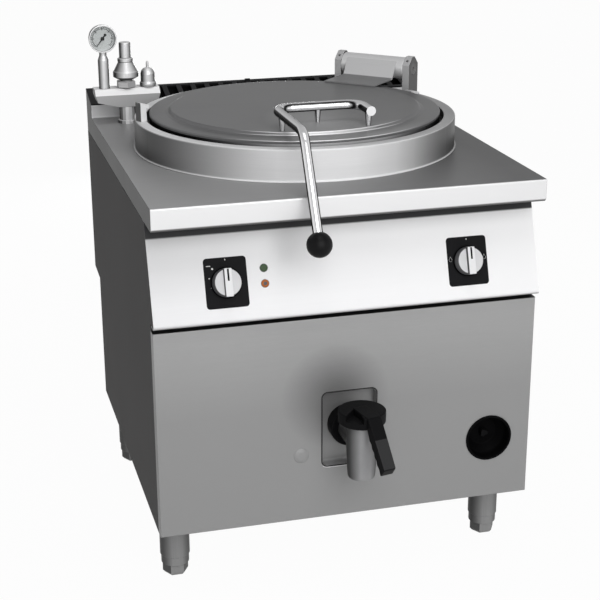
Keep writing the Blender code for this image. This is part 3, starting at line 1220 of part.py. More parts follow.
def lid_hinge():
    """Two uprights with a fixed axle, and the tube that turns on it and carries the lid."""
    along = dict(parent=HINGE, rotation=(0, pi / 2, 0))
    foot = WORKTOP_Z + GAP - HINGE_Z
    near, far, top, c = -UPRIGHT_DEPTH / 2, UPRIGHT_DEPTH / 2, UPRIGHT_ABOVE_AXIS, UPRIGHT_CHAMFER
    outline = [(near, foot), (far, foot), (far, top - c), (far - c, top), (near + c, top),
               (near, top - c)]
    inner, outer = HINGE_HALF, HINGE_HALF + UPRIGHT_THICK
    bore_low, bore_high = -outer - 0.01, outer + 0.01
    middle, bevel_y, bevel_z = (inner + outer) / 2, near + c / 2, top - c / 2
    for side, name in ((-1, "hinge_upright_left"), (1, "hinge_upright_right")):
        low, high = sorted((side * inner, side * outer))
        upright = place(name, slab_mesh(name, outline, low, high), BRIGHT, HINGE)
        combine(upright, rod_cutter(name + "_bore", AXLE_R + GAP, bore_low, bore_high, SMALL, **along))
        recess = sorted((side * (outer - AXLE_HEAD_DEPTH), side * (outer + 0.02)))
        combine(upright, rod_cutter(name + "_recess", AXLE_HEAD_R + GAP, *recess, SMALL, **along))
        combine(upright, rod_cutter(name + "_screw", 0.003, -0.010, 0.010, TINY, parent=HINGE,
                                    location=(side * middle, bevel_y, bevel_z),
                                    rotation=(pi / 4, 0, 0)))
    head = outer - AXLE_HEAD_DEPTH + GAP
    axle = [(0, -outer), (AXLE_HEAD_R, -outer), (AXLE_HEAD_R, -head), (AXLE_R, -head),
            (AXLE_R, head), (AXLE_HEAD_R, head), (AXLE_HEAD_R, outer), (0.005, outer),
            (0.005, outer - 0.003), (0, outer - 0.003)]
    turned("hinge_axle", axle, SMALL, CHROME, **along)
    bore, end = free_bore(AXLE_R, SMALL), HINGE_HALF - GAP
    r, inside, bush = HINGE_TUBE_R, HINGE_TUBE_R - HINGE_TUBE_WALL, 0.008
    tube = [(bore, -end), (r, -end), (r, end), (bore, end), (bore, end - bush), (inside, end - bush),
            (inside, bush - end), (bore, bush - end)]
    turned("hinge_tube", tube, SMALL, STEEL, **along)
    coil_r = (AXLE_R + 2 * GAP + SPRING_WIRE_R) / cos(pi / SPRING_SIDES)
    length = 2 * (end - bush) - 0.020
    steps = SPRING_SIDES * SPRING_TURNS
    points = []
    for i in range(steps + 1):
        a = 2 * pi * i / SPRING_SIDES
        points.append((length * (i / steps - 0.5), coil_r * cos(a), coil_r * sin(a)))
    bar_curve("counterbalance_spring", points, SPRING_WIRE_R, 0, CHROME, HINGE)


def lid_strap():
    """Bent plate welded to the hinge tube, which runs over the ring and onto the lid."""
    lid_z = LID_TOP - HINGE_Z + GAP
    line = list(arc((0, 0), HINGE_TUBE_R + GAP, 115, 165, 3))
    line += [(COLLAR_R - HINGE_RADIUS, lid_z), (LID_DISC_R - 0.016 - HINGE_RADIUS, lid_z)]
    strap = place("lid_strap", strip_mesh("lid_strap", line, STRAP_HALF), BRIGHT, HINGE)
    thicken(strap, STRAP_THICK)


worktop()
well_collar()
water_spout()
lid_guide()
side_panels()
rear_panel()
control_panel()
front_panel()
valve_tray()
cabinet_frame()
feet()
flue_grille()
inner_vessel()
steam_jacket()
heating_elements()
insulation_wrap()
drain_pipe()
drain_valve()
drain_handle()
level_tap()
reset_cap()
round_controls()
pilot_lamps()
safety_riser()
pressure_gauge()
safety_valve()
vacuum_valve()
water_services()
lid()
lid_handle()
lid_hinge()
lid_strap()
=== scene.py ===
"""Steam jacketed kettle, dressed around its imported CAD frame. Metres, +Z up, the cook at -Y."""
from math import acos, atan2, cos, pi, radians, sin, sqrt, tan

import bmesh
import bpy
from mathutils import Matrix, Quaternion, Vector


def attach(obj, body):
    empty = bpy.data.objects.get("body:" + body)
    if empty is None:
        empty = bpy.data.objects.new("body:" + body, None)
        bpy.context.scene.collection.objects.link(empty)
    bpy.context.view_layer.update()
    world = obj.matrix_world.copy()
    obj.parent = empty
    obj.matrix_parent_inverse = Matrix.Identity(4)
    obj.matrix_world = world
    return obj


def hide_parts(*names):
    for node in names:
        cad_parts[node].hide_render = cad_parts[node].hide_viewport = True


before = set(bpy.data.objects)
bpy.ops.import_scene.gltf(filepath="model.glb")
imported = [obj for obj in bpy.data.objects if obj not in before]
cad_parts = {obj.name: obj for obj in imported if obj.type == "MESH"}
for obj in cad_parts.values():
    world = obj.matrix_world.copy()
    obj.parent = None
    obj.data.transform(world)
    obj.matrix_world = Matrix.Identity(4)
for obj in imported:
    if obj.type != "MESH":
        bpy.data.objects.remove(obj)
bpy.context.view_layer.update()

# Studio: a plain pale floor under a white surround, and the camera where the photograph was taken.
# A large soft lamp stands behind the camera, a weaker one over the kettle and one low behind it.
scene = bpy.context.scene
scene.view_settings.view_transform = "Standard"
IMAGE = 600
FOCAL_PIXELS = 1443.75
AXIS_PIXEL = (285.33, 306.82)
YAW, PITCH, ROLL = 0.2538, 0.345, -0.0078

ahead = Vector((sin(YAW) * cos(PITCH), cos(YAW) * cos(PITCH), -sin(PITCH)))
level = Vector((cos(YAW), -sin(YAW), 0))
above = level.cross(ahead)
across = cos(ROLL) * level + sin(ROLL) * above
upward = cos(ROLL) * above - sin(ROLL) * level
camera = bpy.data.objects.new("camera", bpy.data.cameras.new("camera"))
camera.data.lens = camera.data.sensor_width * FOCAL_PIXELS / IMAGE
camera.data.shift_x = (IMAGE / 2 - AXIS_PIXEL[0]) / IMAGE
camera.data.shift_y = (AXIS_PIXEL[1] - IMAGE / 2) / IMAGE
camera.data.clip_end = 100
camera.matrix_world = Matrix((across, upward, -ahead)).transposed().to_4x4()
camera.location = (-0.80647, -2.93417, 1.58559)
scene.collection.objects.link(camera)
scene.camera = camera


def soft_lamp(name, place, target, size, watts):
    """A square soft box that looks at a point."""
    data = bpy.data.lights.new(name, "AREA")
    data.size = size
    data.energy = watts
    lamp = bpy.data.objects.new(name, data)
    lamp.location = place
    aim = Vector(target) - Vector(place)
    lamp.rotation_euler = aim.to_track_quat("-Z", "Y").to_euler()
    scene.collection.objects.link(lamp)


soft_lamp("front_box", (0.1, -3.5, 2.2), (0, -0.2, 0.7), 2.9, 85)
soft_lamp("top_box", (0.0, -1.0, 3.6), (0, 0, 0.8), 1.6, 22)
soft_lamp("back_box", (0.5, 3.2, 0.5), (0, 0, 0.5), 0.8, 30)


class Signal:
    """A value in a material's nodes. Sums and products of it add Math nodes."""

    def __init__(self, tree, socket=None):
        self.tree = tree
        self.socket = socket

    def node(self, kind, settings=None, sockets=None, output=0):
        """Any other node: its settings are set first, then the values or links of its sockets."""
        made = self.tree.nodes.new(kind)
        for name, value in (settings or {}).items():
            if name == "stops":
                first, *others = value
                made.color_ramp.elements.remove(made.color_ramp.elements[1])
                made.color_ramp.elements[0].position = first[0]
                made.color_ramp.elements[0].color = (*first[1], 1)
                for place, colour in others:
                    made.color_ramp.elements.new(place).color = (*colour, 1)
            else:
                setattr(made, name, value)
        for name, value in (sockets or {}).items():
            if isinstance(value, Signal):
                self.tree.links.new(value.socket, made.inputs[name])
            else:
                made.inputs[name].default_value = value
        return Signal(self.tree, made.outputs[output])

    def math(self, operation, first, second, clamp=False):
        return self.node("ShaderNodeMath", {"operation": operation, "use_clamp": clamp},
                         {0: first, 1: second})

    def __add__(self, other):
        return self.math("ADD", self, other)

    def __sub__(self, other):
        return self.math("SUBTRACT", self, other)

    def __rsub__(self, other):
        return self.math("SUBTRACT", other, self)

    def __mul__(self, other):
        return self.math("MULTIPLY", self, other)

    def __lt__(self, other):
        return self.math("LESS_THAN", self, other)

    def __gt__(self, other):
        return self.math("GREATER_THAN", self, other)

    __radd__ = __add__
    __rmul__ = __mul__

    def clamped(self):
        return self.math("ADD", self, 0.0, clamp=True)

    def mixed(self, first, second):
        """Between two colours, by this value."""
        sides = {"Factor": self}
        for index, colour in ((6, first), (7, second)):
            sides[index] = colour if isinstance(colour, Signal) else (*colour, 1)
        return self.node("ShaderNodeMix", {"data_type": "RGBA"}, sides, output=2)

    def toward(self, direction, low, high):
        """0 to 1 as this normal turns to a direction, from cosine low to cosine high."""
        cosine = self.node("ShaderNodeVectorMath", {"operation": "DOT_PRODUCT"},
                           {0: self, 1: direction}, output=1)
        return cosine.spread(low, high)

    def size(self):
        """How large a number is without its sign."""
        return self.math("ABSOLUTE", self, 0.0)

    def root(self):
        return self.math("SQRT", self, 0.0)

    def spread(self, low, high):
        """0 to 1 between two values."""
        return self.node("ShaderNodeMapRange", {"clamp": True},
                         {"Value": self, "From Min": low, "From Max": high})

    def noise(self, scale, detail=3.0, roughness=0.5):
        sockets = {"Vector": self, "Scale": scale, "Detail": detail, "Roughness": roughness}
        return self.node("ShaderNodeTexNoise", {}, sockets)

    def stretched(self, scale):
        return self.node("ShaderNodeMapping", {}, {"Vector": self, "Scale": scale})

    def part(self, axis):
        """One number of a vector: 0, 1 or 2."""
        return self.node("ShaderNodeSeparateXYZ", {}, {0: self}, output=axis)

    def drives(self, shader, socket):
        self.tree.links.new(self.socket, shader.inputs[socket])


def bare_material(name):
    """A new material with only its output node, and a signal to build from."""
    material = bpy.data.materials.new(name)
    material.use_nodes = True
    material.node_tree.nodes.clear()
    output = material.node_tree.nodes.new("ShaderNodeOutputMaterial")
    return material, Signal(material.node_tree), output


def grey(level, blue=None):
    """A grey, or nearly one, with its blue a little apart."""
    return (level, level, level if blue is None else blue)


GLOSSY_RAY, TRANSMISSION_RAY = 3, 6


def background_rays(start):
    """The camera's own rays, and those with the reflected and refracted ones added."""
    camera_ray = start.node("ShaderNodeLightPath")
    seen = camera_ray
    for index in (GLOSSY_RAY, TRANSMISSION_RAY):
        seen = seen + Signal(start.tree, camera_ray.socket.node.outputs[index])
    return camera_ray, seen.clamped()


FLOOR_GLOW = 0.97
floor_paint, start, output = bare_material("studio_floor")
seen = background_rays(start)[1]
glow = start.node("ShaderNodeEmission", {}, {"Color": (1, 1, 1, 1), "Strength": 1.0})
matt = start.node("ShaderNodeBsdfDiffuse", {}, {"Color": (0.60, 0.60, 0.60, 1)})
floor_share = seen * FLOOR_GLOW
start.node("ShaderNodeMixShader", {}, {0: floor_share, 1: matt, 2: glow}).drives(output, "Surface")

floor_mesh = bpy.data.meshes.new("studio_floor")
FLOOR_HALF = 40
corners = [(x * FLOOR_HALF, y * FLOOR_HALF, 0) for x, y in ((-1, -1), (1, -1), (1, 1), (-1, 1))]
floor_mesh.from_pydata(corners, [], [(0, 1, 2, 3)])
floor_mesh.materials.append(floor_paint)
floor = bpy.data.objects.new("studio_floor", floor_mesh)
scene.collection.objects.link(floor)

sky = bpy.data.worlds.new("studio_walls")
sky.use_nodes = True
sky.node_tree.nodes.clear()
start = Signal(sky.node_tree)
camera_ray, seen = background_rays(start)
height = start.node("ShaderNodeTexCoord", output=0).part(2)
dome = height.node("ShaderNodeValToRGB", {"stops": [(0.0, grey(0.9)), (0.25, (1, 1, 1)),
                                                    (0.55, grey(0.45)),
                                                    (1.0, grey(0.30))]}, {"Fac": height})
ambient = camera_ray.mixed(seen.mixed(grey(0.24, 0.243), dome), (1, 1, 1))
output = sky.node_tree.nodes.new("ShaderNodeOutputWorld")
start.node("ShaderNodeBackground", {}, {"Color": ambient}).drives(output, "Surface")
scene.world = sky


# Worktop: one deep-drawn sheet of satin stainless steel, with a rounded nose over the controls,
# skirts at the sides, the hole for the vessel and an upstand under the rear grille.
FRONT = -0.368
HALF_WIDTH = 0.400
DEEP = 0.905
TOP_Z = 0.850
SKIRT_Z = 0.8034
SHEET = 0.002
WELL_Y = FRONT + 0.450
WELL_HOLE_R = 0.346
RISER_HOLE_R = 0.0198
RISER = (-0.322, FRONT + 0.757, 0)


def softened(points, steps=5):
    """A closed outline. A point given as (a, b, radius) becomes an arc of that radius."""
    outline = []
    for before, here, after in zip(points[-1:] + points[:-1], points, points[1:] + points[:1]):
        corner = Vector(here[:2])
        if len(here) < 3:
            outline.append(corner)
            continue
        back = (Vector(before[:2]) - corner).normalized()
        on = (Vector(after[:2]) - corner).normalized()
        half_angle = back.angle(on) / 2
        middle = corner + (back + on).normalized() * (here[2] / sin(half_angle))
        first = corner + back * (here[2] / tan(half_angle)) - middle
        last = corner + on * (here[2] / tan(half_angle)) - middle
        turn = atan2(first.x * last.y - first.y * last.x, first.dot(last))
        outline += [middle + Matrix.Rotation(turn * i / steps, 2) @ first for i in range(steps + 1)]
    return [(p.x, p.y) for p in outline]


def piece_from(bm, name, place=(0, 0, 0), turn=(0, 0, 0), crease=35):
    """Closes a mesh into an object, smooth but for its sharp edges."""
    bmesh.ops.remove_doubles(bm, verts=bm.verts, dist=1e-6)
    bmesh.ops.recalc_face_normals(bm, faces=bm.faces)
    data = bpy.data.meshes.new(name)
    bm.to_mesh(data)
    bm.free()
    data.shade_smooth()
    data.set_sharp_from_angle(angle=radians(crease))
    piece = bpy.data.objects.new(name, data)
    piece.location = place
    piece.rotation_euler = turn
    scene.collection.objects.link(piece)
    return piece


def pushed(name, outline, low, high, axis, edge=0.0, place=(0, 0, 0), turn=(0, 0, 0), rims="both"):
    """An outline pushed along an axis, with its rims rounded: (y, z), (x, z) or (x, y) points."""
    def at(a, b, along):
        return {"X": (along, a, b), "Y": (a, along, b), "Z": (a, b, along)}[axis]
    bm = bmesh.new()
    near = [bm.verts.new(at(a, b, low)) for a, b in outline]
    far = [bm.verts.new(at(a, b, high)) for a, b in outline]
    bm.faces.new(near)
    bm.faces.new(far)
    for i in range(len(near)):
        bm.faces.new((near[i - 1], near[i], far[i], far[i - 1]))
    bmesh.ops.recalc_face_normals(bm, faces=bm.faces)
    if edge:
        ends = {"both": (near, far), "low": (near,), "high": (far,)}[rims]
        rim = [e for e in bm.edges if any(e.verts[0] in end and e.verts[1] in end for end in ends)]
        bmesh.ops.bevel(bm, geom=rim, offset=edge, segments=3, profile=0.5, affect="EDGES",
                        clamp_overlap=True)
    return piece_from(bm, name, place, turn)


def turned(name, profile, sides=96, place=(0, 0, 0), turn=(0, 0, 0), steps=4, crease=35):
    """A closed outline of (radius, height) points turned about Z."""
    bm = bmesh.new()
    rings = []
    for r, z in softened(profile, steps):
        if r < 1e-6:
            rings.append([bm.verts.new((0, 0, z))] * sides)
        else:
            rings.append([bm.verts.new((r * cos(2 * pi * i / sides), r * sin(2 * pi * i / sides), z))
                          for i in range(sides)])
    for low, high in zip(rings, rings[1:] + rings[:1]):
        for i in range(sides):
            corners = []
            for vert in (low[i - 1], low[i], high[i], high[i - 1]):
                if vert not in corners:
                    corners.append(vert)
            if len(corners) > 2:
                bm.faces.new(corners)
    return piece_from(bm, name, place, turn, crease)


def settled(piece):
    """Keeps what the piece's modifiers make and drops the modifiers."""
    graph = bpy.context.evaluated_depsgraph_get()
    piece.data = bpy.data.meshes.new_from_object(piece.evaluated_get(graph))
    piece.modifiers.clear()
    return piece


def joined(piece, tool, operation="DIFFERENCE", crease=35):
    """Cuts one piece with another, or adds it."""
    step = piece.modifiers.new("join", "BOOLEAN")
    step.operation = operation
    step.solver = "EXACT"
    step.object = tool
    settled(piece)
    piece.data.shade_smooth()
    piece.data.set_sharp_from_angle(angle=radians(crease))
    bpy.data.objects.remove(tool)
    return piece


def dressed(piece, finish, slot, body, *nodes):
    """Gives a piece its finish and its place in the frame, and hides the CAD nodes it stands for."""
    piece.data.materials.clear()
    piece.data.materials.append(finish)
    even = piece.modifiers.new("even_shading", "WEIGHTED_NORMAL")
    even.keep_sharp = True
    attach(piece, body)
    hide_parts(*nodes)
    return piece


def disc_cutter(radius, low, high, place=(0, 0, 0), turn=(0, 0, 0), sides=96):
    return turned("cutter", [(0, low), (radius, low), (radius, high), (0, high)], sides, place, turn)


def masked(shade, masks, place):
    """Lays the colour of each mask over a shade, in turn."""
    if masks:
        for share, colour in masks(place, place.node("ShaderNodeTexCoord", output=1)):
            shade = share.mixed(shade, colour)
    return shade


# Each piece's steel below gets its own pair of colours, so the one stainless steel comes in lit and shaded
# copies: the colours carry painted light and shade.
def satin_steel(name, dark, light, rough, grain, metal=0.4, gloss=0.2, rim=0.2, masks=None):
    """Satin steel: brushed lines along one way and faint clouds where it was wiped. Its masks lay
    the photograph's light and shade over it, by place and by the way a face looks."""
    material, start, output = bare_material(name)
    place = start.node("ShaderNodeTexCoord", output=3)
    lines = place.stretched(grain).noise(1.0, 5.0, 0.65)
    streaks = place.stretched([g * 0.12 for g in grain]).noise(1.0, 2.0)
    clouds = place.noise(5.0, 3.0)
    tone = lines * 0.45 + streaks * 0.20 + clouds * 0.35
    shade = tone.node("ShaderNodeValToRGB", {"stops": [(0.30, dark), (0.70, light)]}, {"Fac": tone})
    shade = masked(shade, masks, place)
    height = lines * 0.6 + streaks * 0.4
    relief = height.node("ShaderNodeBump", {}, {"Height": height, "Strength": 0.10, "Distance": 0.0004})
    shader = start.node("ShaderNodeBsdfPrincipled", {},
                        {"Metallic": metal, "Specular IOR Level": gloss,
                         "Specular Tint": (rim, rim, rim, 1)})
    principled = shader.socket.node
    shade.drives(principled, "Base Color")
    (rough + clouds * 0.10 + lines * 0.06 - 0.08).drives(principled, "Roughness")
    relief.drives(principled, "Normal")
    shader.drives(output, "Surface")
    return material


def worktop_masks(place, normal):
    """As the photograph lights it: darker to the right, the nose bright over a dark underside, the
    skirts dull, and the lips under the grille nearly black."""
    x, y = place.part(0), place.part(1)
    nose_end = FRONT + 0.05
    facing = normal.toward((0, -1, 0), 0.25, 0.85)
    nose = facing * (y < nose_end)
    under = normal.toward((0, -0.5, -0.86), 0.55, 0.85) * (y < nose_end)
    upstand = facing * (y > nose_end)
    right = x.spread(-0.25, 0.35)
    skirts = normal.part(0).size() > 0.7
    flue = (y > FRONT + 0.8215) * (x.size() < HALF_WIDTH - 0.001)
    return [(right, grey(0.165, 0.167)), (nose, grey(0.82, 0.825)), (under, grey(0.16)),
            (upstand, grey(0.62, 0.625)), (skirts, grey(0.11)),
            (flue, grey(0.012))]


TOP_STEEL = satin_steel("worktop_steel", grey(0.43, 0.433), grey(0.49, 0.493), 0.40, (10, 900, 900),
                        masks=worktop_masks)

grille_low = TOP_Z + 0.031
rise = 0.022 / 0.085
outside = [(FRONT + DEEP, SKIRT_Z), (FRONT + 0.082, SKIRT_Z), (FRONT, SKIRT_Z, 0.007),
           (FRONT, TOP_Z, 0.0035), (FRONT + 0.820, TOP_Z, 0.004), (FRONT + 0.820, grille_low),
           (FRONT + DEEP, TOP_Z + 0.053)]
worktop = pushed("worktop", softened(outside), -HALF_WIDTH, HALF_WIDTH, "X", edge=0.0018)
sides = HALF_WIDTH - SHEET
hollow = [(FRONT + 0.082, SKIRT_Z - 0.02), (FRONT + 0.082, SKIRT_Z + SHEET),
          (FRONT + SHEET, SKIRT_Z + SHEET, 0.005), (FRONT + SHEET, TOP_Z - SHEET),
          (FRONT + 0.822, TOP_Z - SHEET), (FRONT + 0.822, grille_low + rise * 0.002 - SHEET),
          (FRONT + 0.830, grille_low + rise * 0.010 - SHEET), (FRONT + 0.830, TOP_Z + 0.10),
          (FRONT + 0.895, TOP_Z + 0.10), (FRONT + 0.895, grille_low + rise * 0.075 - SHEET),
          (FRONT + DEEP - SHEET, grille_low + rise * 0.083 - SHEET),
          (FRONT + DEEP - SHEET, SKIRT_Z - 0.02)]
joined(worktop, pushed("cutter", softened(hollow), -sides, sides, "X"))
joined(worktop, disc_cutter(WELL_HOLE_R, TOP_Z - 0.02, TOP_Z + 0.02, (0, WELL_Y, 0), sides=128))
joined(worktop, disc_cutter(RISER_HOLE_R, TOP_Z - 0.02, TOP_Z + 0.02, RISER))
dressed(worktop, TOP_STEEL, "stainless", "cabinet", "worktop")


# Rear grille: a steel frame with bars, stove-enamelled black, loose in the worktop's rear lips. The
# cabinet breathes through it, and it lifts out for cleaning.
def enamel(name, dark, light, rough, grain_size=900.0, relief=0.05, gloss=0.08, masks=None):
    """A smooth skin: enamel, moulding or printed plate, with a fine grain and faint dust."""
    material, start, output = bare_material(name)
    place = start.node("ShaderNodeTexCoord", output=3)
    speckle = place.noise(grain_size, 2.0)
    clouds = place.noise(14.0, 4.0)
    tone = speckle * 0.4 + clouds * 0.6
    shade = tone.node("ShaderNodeValToRGB", {"stops": [(0.35, dark), (0.70, light)]}, {"Fac": tone})
    shade = masked(shade, masks, place)
    bump = speckle.node("ShaderNodeBump", {},
                        {"Height": speckle, "Strength": relief, "Distance": 0.0005})
    shader = start.node("ShaderNodeBsdfPrincipled", {}, {"Specular IOR Level": gloss})
    principled = shader.socket.node
    shade.drives(principled, "Base Color")
    (rough + clouds * 0.12 - 0.06).drives(principled, "Roughness")
    bump.drives(principled, "Normal")
    shader.drives(output, "Surface")
    return material


def repainted(finish, *nodes):
    """A new finish on CAD nodes whose shape stays."""
    for name in nodes:
        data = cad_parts[name].data
        data.materials.clear()
        data.materials.append(finish)


GRILLE_BLACK = enamel("grille_enamel", grey(0.010, 0.011), grey(0.026, 0.028), 0.42)
repainted(GRILLE_BLACK, "flue_grille")


# Cabinet: side and rear sheets in dull rolled steel over a welded frame of the same. Their near-black
# colours are painted shade, the frame's darkest so that the gaps where it shows stay black. Their CAD
# solids keep their shape and get a finish only.
SIDE_STEEL = satin_steel("side_steel", (0.105, 0.103, 0.102), (0.125, 0.123, 0.122), 0.55,
                         (700, 700, 8), metal=0.0, gloss=0.01)
FRAME_STEEL = satin_steel("frame_steel", grey(0.08), grey(0.12, 0.118), 0.50, (8, 600, 600))
repainted(SIDE_STEEL, "left_side_panel", "right_side_panel", "rear_panel")
repainted(FRAME_STEEL, "cabinet_frame")


# Control panel: a satin sheet, leaned back from its rolled lower edge and folded at the top, where it
# meets the worktop's nose. Its light colour is painted light, as it faces the lamp in front. It holds the
# two controls and the two lamps.
def panel_masks(place, normal):
    """As the photograph lights it: brighter downward and to the right, dark on the fold under the
    nose, and grey where it looks down."""
    # Painted shade under the worktop's nose: the panel grows darker toward its top.
    under_nose_shade = place.part(2).spread(0.640, 0.772)
    right = place.part(0).spread(-0.40, 0.42)
    fold = place.part(2).spread(0.7705, 0.7735)
    return [(under_nose_shade, grey(0.60, 0.605)), (right, grey(0.92, 0.925)), (fold, grey(0.05, 0.052)),
            (normal.toward((0, 0, -1), 0.2, 0.8), grey(0.3))]


PANEL_STEEL = satin_steel("control_panel_steel", grey(0.73, 0.74), grey(0.79, 0.80), 0.40,
                          (10, 800, 800), metal=0.1, masks=panel_masks)
PANEL_LOW = (FRONT + 0.0117, 0.612)
SLOPE = radians(70.52)
THIN = 0.0015
LIP = 0.005
RETURN = 0.022
ROLL_STEPS = 12


def slanted(z):
    """How far forward the panel's face is at a height."""
    return PANEL_LOW[0] + (z - PANEL_LOW[1]) / tan(SLOPE)


def sheet_line(name, line, half_width, thick):
    """A sheet bent along a line of (y, z) points, thickened on the inner side."""
    bm = bmesh.new()
    left = [bm.verts.new((-half_width, y, z)) for y, z in line]
    right = [bm.verts.new((half_width, y, z)) for y, z in line]
    for i in range(1, len(line)):
        bm.faces.new((left[i - 1], left[i], right[i], right[i - 1]))
    data = bpy.data.meshes.new(name)
    bm.to_mesh(data)
    bm.free()
    sheet = bpy.data.objects.new(name, data)
    scene.collection.objects.link(sheet)
    skin = sheet.modifiers.new("skin", "SOLIDIFY")
    skin.thickness = thick
    skin.offset = 1
    skin.use_even_offset = True
    settled(sheet)
    sheet.data.shade_smooth()
    sheet.data.set_sharp_from_angle(angle=radians(35))
    return sheet


top_z = SKIRT_Z - 0.0003
roll = (PANEL_LOW[0] + LIP * sin(SLOPE), PANEL_LOW[1] - LIP * cos(SLOPE))
line = [(slanted(top_z) + RETURN, top_z), (slanted(top_z), top_z)]
for i in range(ROLL_STEPS + 1):
    a = (pi / 2 + SLOPE) * (1 - i / ROLL_STEPS) + 1.5 * pi * i / ROLL_STEPS
    line.append((roll[0] + LIP * cos(a), roll[1] + LIP * sin(a)))
line.append((roll[0] + RETURN, roll[1] - LIP))
control_panel = sheet_line("control_panel", line, HALF_WIDTH, THIN)
panel_turn = (SLOPE, 0, 0)
KNOB_X, KNOB_Z = 0.250, 0.681
LAMP_X = -0.173
GREEN_UP, AMBER_UP = 0.0223, -0.0083


def on_panel(x, along=0.0):
    """A place on the slanted face: across, and up the slope from the knobs' height."""
    return Vector((x, slanted(KNOB_Z) + along * cos(SLOPE), KNOB_Z + along * sin(SLOPE)))


for x in (-KNOB_X, KNOB_X):
    joined(control_panel, disc_cutter(0.0043, -0.02, 0.02, on_panel(x), panel_turn, 32))
for along in (GREEN_UP, AMBER_UP):
    joined(control_panel, disc_cutter(0.0063, -0.02, 0.02, on_panel(LAMP_X, along), panel_turn, 48))
dressed(control_panel, PANEL_STEEL, "bright_stainless", "cabinet", "control_panel")


# Front panel: a folded satin sheet below the shadow gap, with openings for the drain tray, the
# level tap's cup and the reset cap.
def face_masks(place, normal):
    """As the photograph lights it: duller below, dark on the top fold, and with a soft round shadow
    over the valve's tray."""
    x, z = place.part(0) + 0.030, place.part(2) - 0.420
    away = (x * x + z * z).root()
    shadow = away.spread(0.115, 0.02) * (z > -0.25)
    fold = normal.toward((0, 0, 1), 0.6, 0.95) * (z > 0.16)
    return [(place.part(2).spread(0.56, 0.40), grey(0.34)),
            (shadow * 0.70, grey(0.11)), (fold, grey(0.02))]


FACE_STEEL = satin_steel("front_steel", grey(0.38), grey(0.43), 0.45,
                         (60, 900, 900), metal=0.20, masks=face_masks)
FACE_Y = FRONT + 0.026
bm = bmesh.new()
made = bmesh.ops.create_cube(bm, size=1)["verts"]
front_top, front_low, fold = 0.592, 0.148, 0.023
bmesh.ops.scale(bm, vec=(2 * HALF_WIDTH, fold, front_top - front_low), verts=made)
bmesh.ops.translate(bm, vec=(0, FACE_Y + fold / 2, (front_top + front_low) / 2), verts=made)
bmesh.ops.delete(bm, geom=[f for f in bm.faces if f.normal.y > 0.5], context="FACES")
front_edges = [e for e in bm.edges if all(v.co.y < FACE_Y + 0.001 for v in e.verts)]
bmesh.ops.bevel(bm, geom=front_edges, offset=0.0025, segments=5, profile=0.5, affect="EDGES")
front_panel = piece_from(bm, "front_panel")
skin = front_panel.modifiers.new("skin", "SOLIDIFY")
skin.thickness = THIN
skin.use_even_offset = True
settled(front_panel)

facing = (pi / 2, 0, 0)
TRAY = (0.117, 0.165, 0.347)


def rounded_box(width, height, radius, middle=(0, 0)):
    """A rectangle's outline with round corners."""
    x, y = width / 2, height / 2
    corners = [(x, y, radius), (-x, y, radius), (-x, -y, radius), (x, -y, radius)]
    return softened([(a + middle[0], b + middle[1], r) for a, b, r in corners], 8)


tray_hole = rounded_box(TRAY[0] + 0.0006, TRAY[1] + 0.0006, 0.0123, (0, TRAY[2]))
joined(front_panel, pushed("cutter", tray_hole, FACE_Y - 0.01, FACE_Y + 0.01, "Y"))
CUP = Vector((0.309, FACE_Y, 0.285))
RESET = Vector((-0.1025, FACE_Y, 0.295))
joined(front_panel, disc_cutter(0.0485, -0.01, 0.01, CUP, facing))
joined(front_panel, disc_cutter(0.0112, -0.01, 0.01, RESET, facing))
dressed(front_panel, FACE_STEEL, "stainless", "cabinet", "front_panel")


# Valve tray: a shallow recess pressed from the same sheet, with a rolled rim, so that drips from
# the drain valve don't reach the cabinet.
TRAY_DEEP = 0.022
tray = pushed("valve_tray", rounded_box(TRAY[0], TRAY[1], 0.012, (0, TRAY[2])),
              FACE_Y, FACE_Y + TRAY_DEEP + THIN, "Y", edge=0.004, rims="high")
hollow = rounded_box(TRAY[0] - 2 * THIN, TRAY[1] - 2 * THIN, 0.0105, (0, TRAY[2]))
joined(tray, pushed("cutter", hollow, FACE_Y - 0.01, FACE_Y + TRAY_DEEP, "Y", edge=0.005, rims="high"))
DRAIN_Z = 0.350
DRAIN = Vector((0, FACE_Y, DRAIN_Z))
joined(tray, disc_cutter(0.0263, -0.05, 0.05, DRAIN, facing))
dressed(tray, FACE_STEEL, "stainless", "cabinet", "valve_tray")


def swept(name, paths, radius, sides=48, closed=False, place=(0, 0, 0), turn=(0, 0, 0)):
    """A round bar along each path of points."""
    bm = bmesh.new()
    for path in paths:
        points = [Vector(p) for p in path]
        count = len(points)
        rings = []
        side = None
        for i, point in enumerate(points):
            before = points[i - 1] if i or closed else point
            after = points[(i + 1) % count] if i + 1 < count or closed else point
            along = (after - before).normalized()
            side = along.orthogonal() if side is None else side
            side = (side - along * side.dot(along)).normalized()
            other = along.cross(side)
            rings.append([bm.verts.new(point + radius * (cos(2 * pi * j / sides) * side
                                                         + sin(2 * pi * j / sides) * other))
                          for j in range(sides)])
        pairs = list(zip(rings, rings[1:]))
        if closed:
            pairs.append((rings[-1], rings[0]))
        for low, high in pairs:
            for j in range(sides):
                bm.faces.new((low[j - 1], low[j], high[j], high[j - 1]))
        if not closed:
            bm.faces.new(rings[0])
            bm.faces.new(rings[-1])
    return piece_from(bm, name, place, turn)
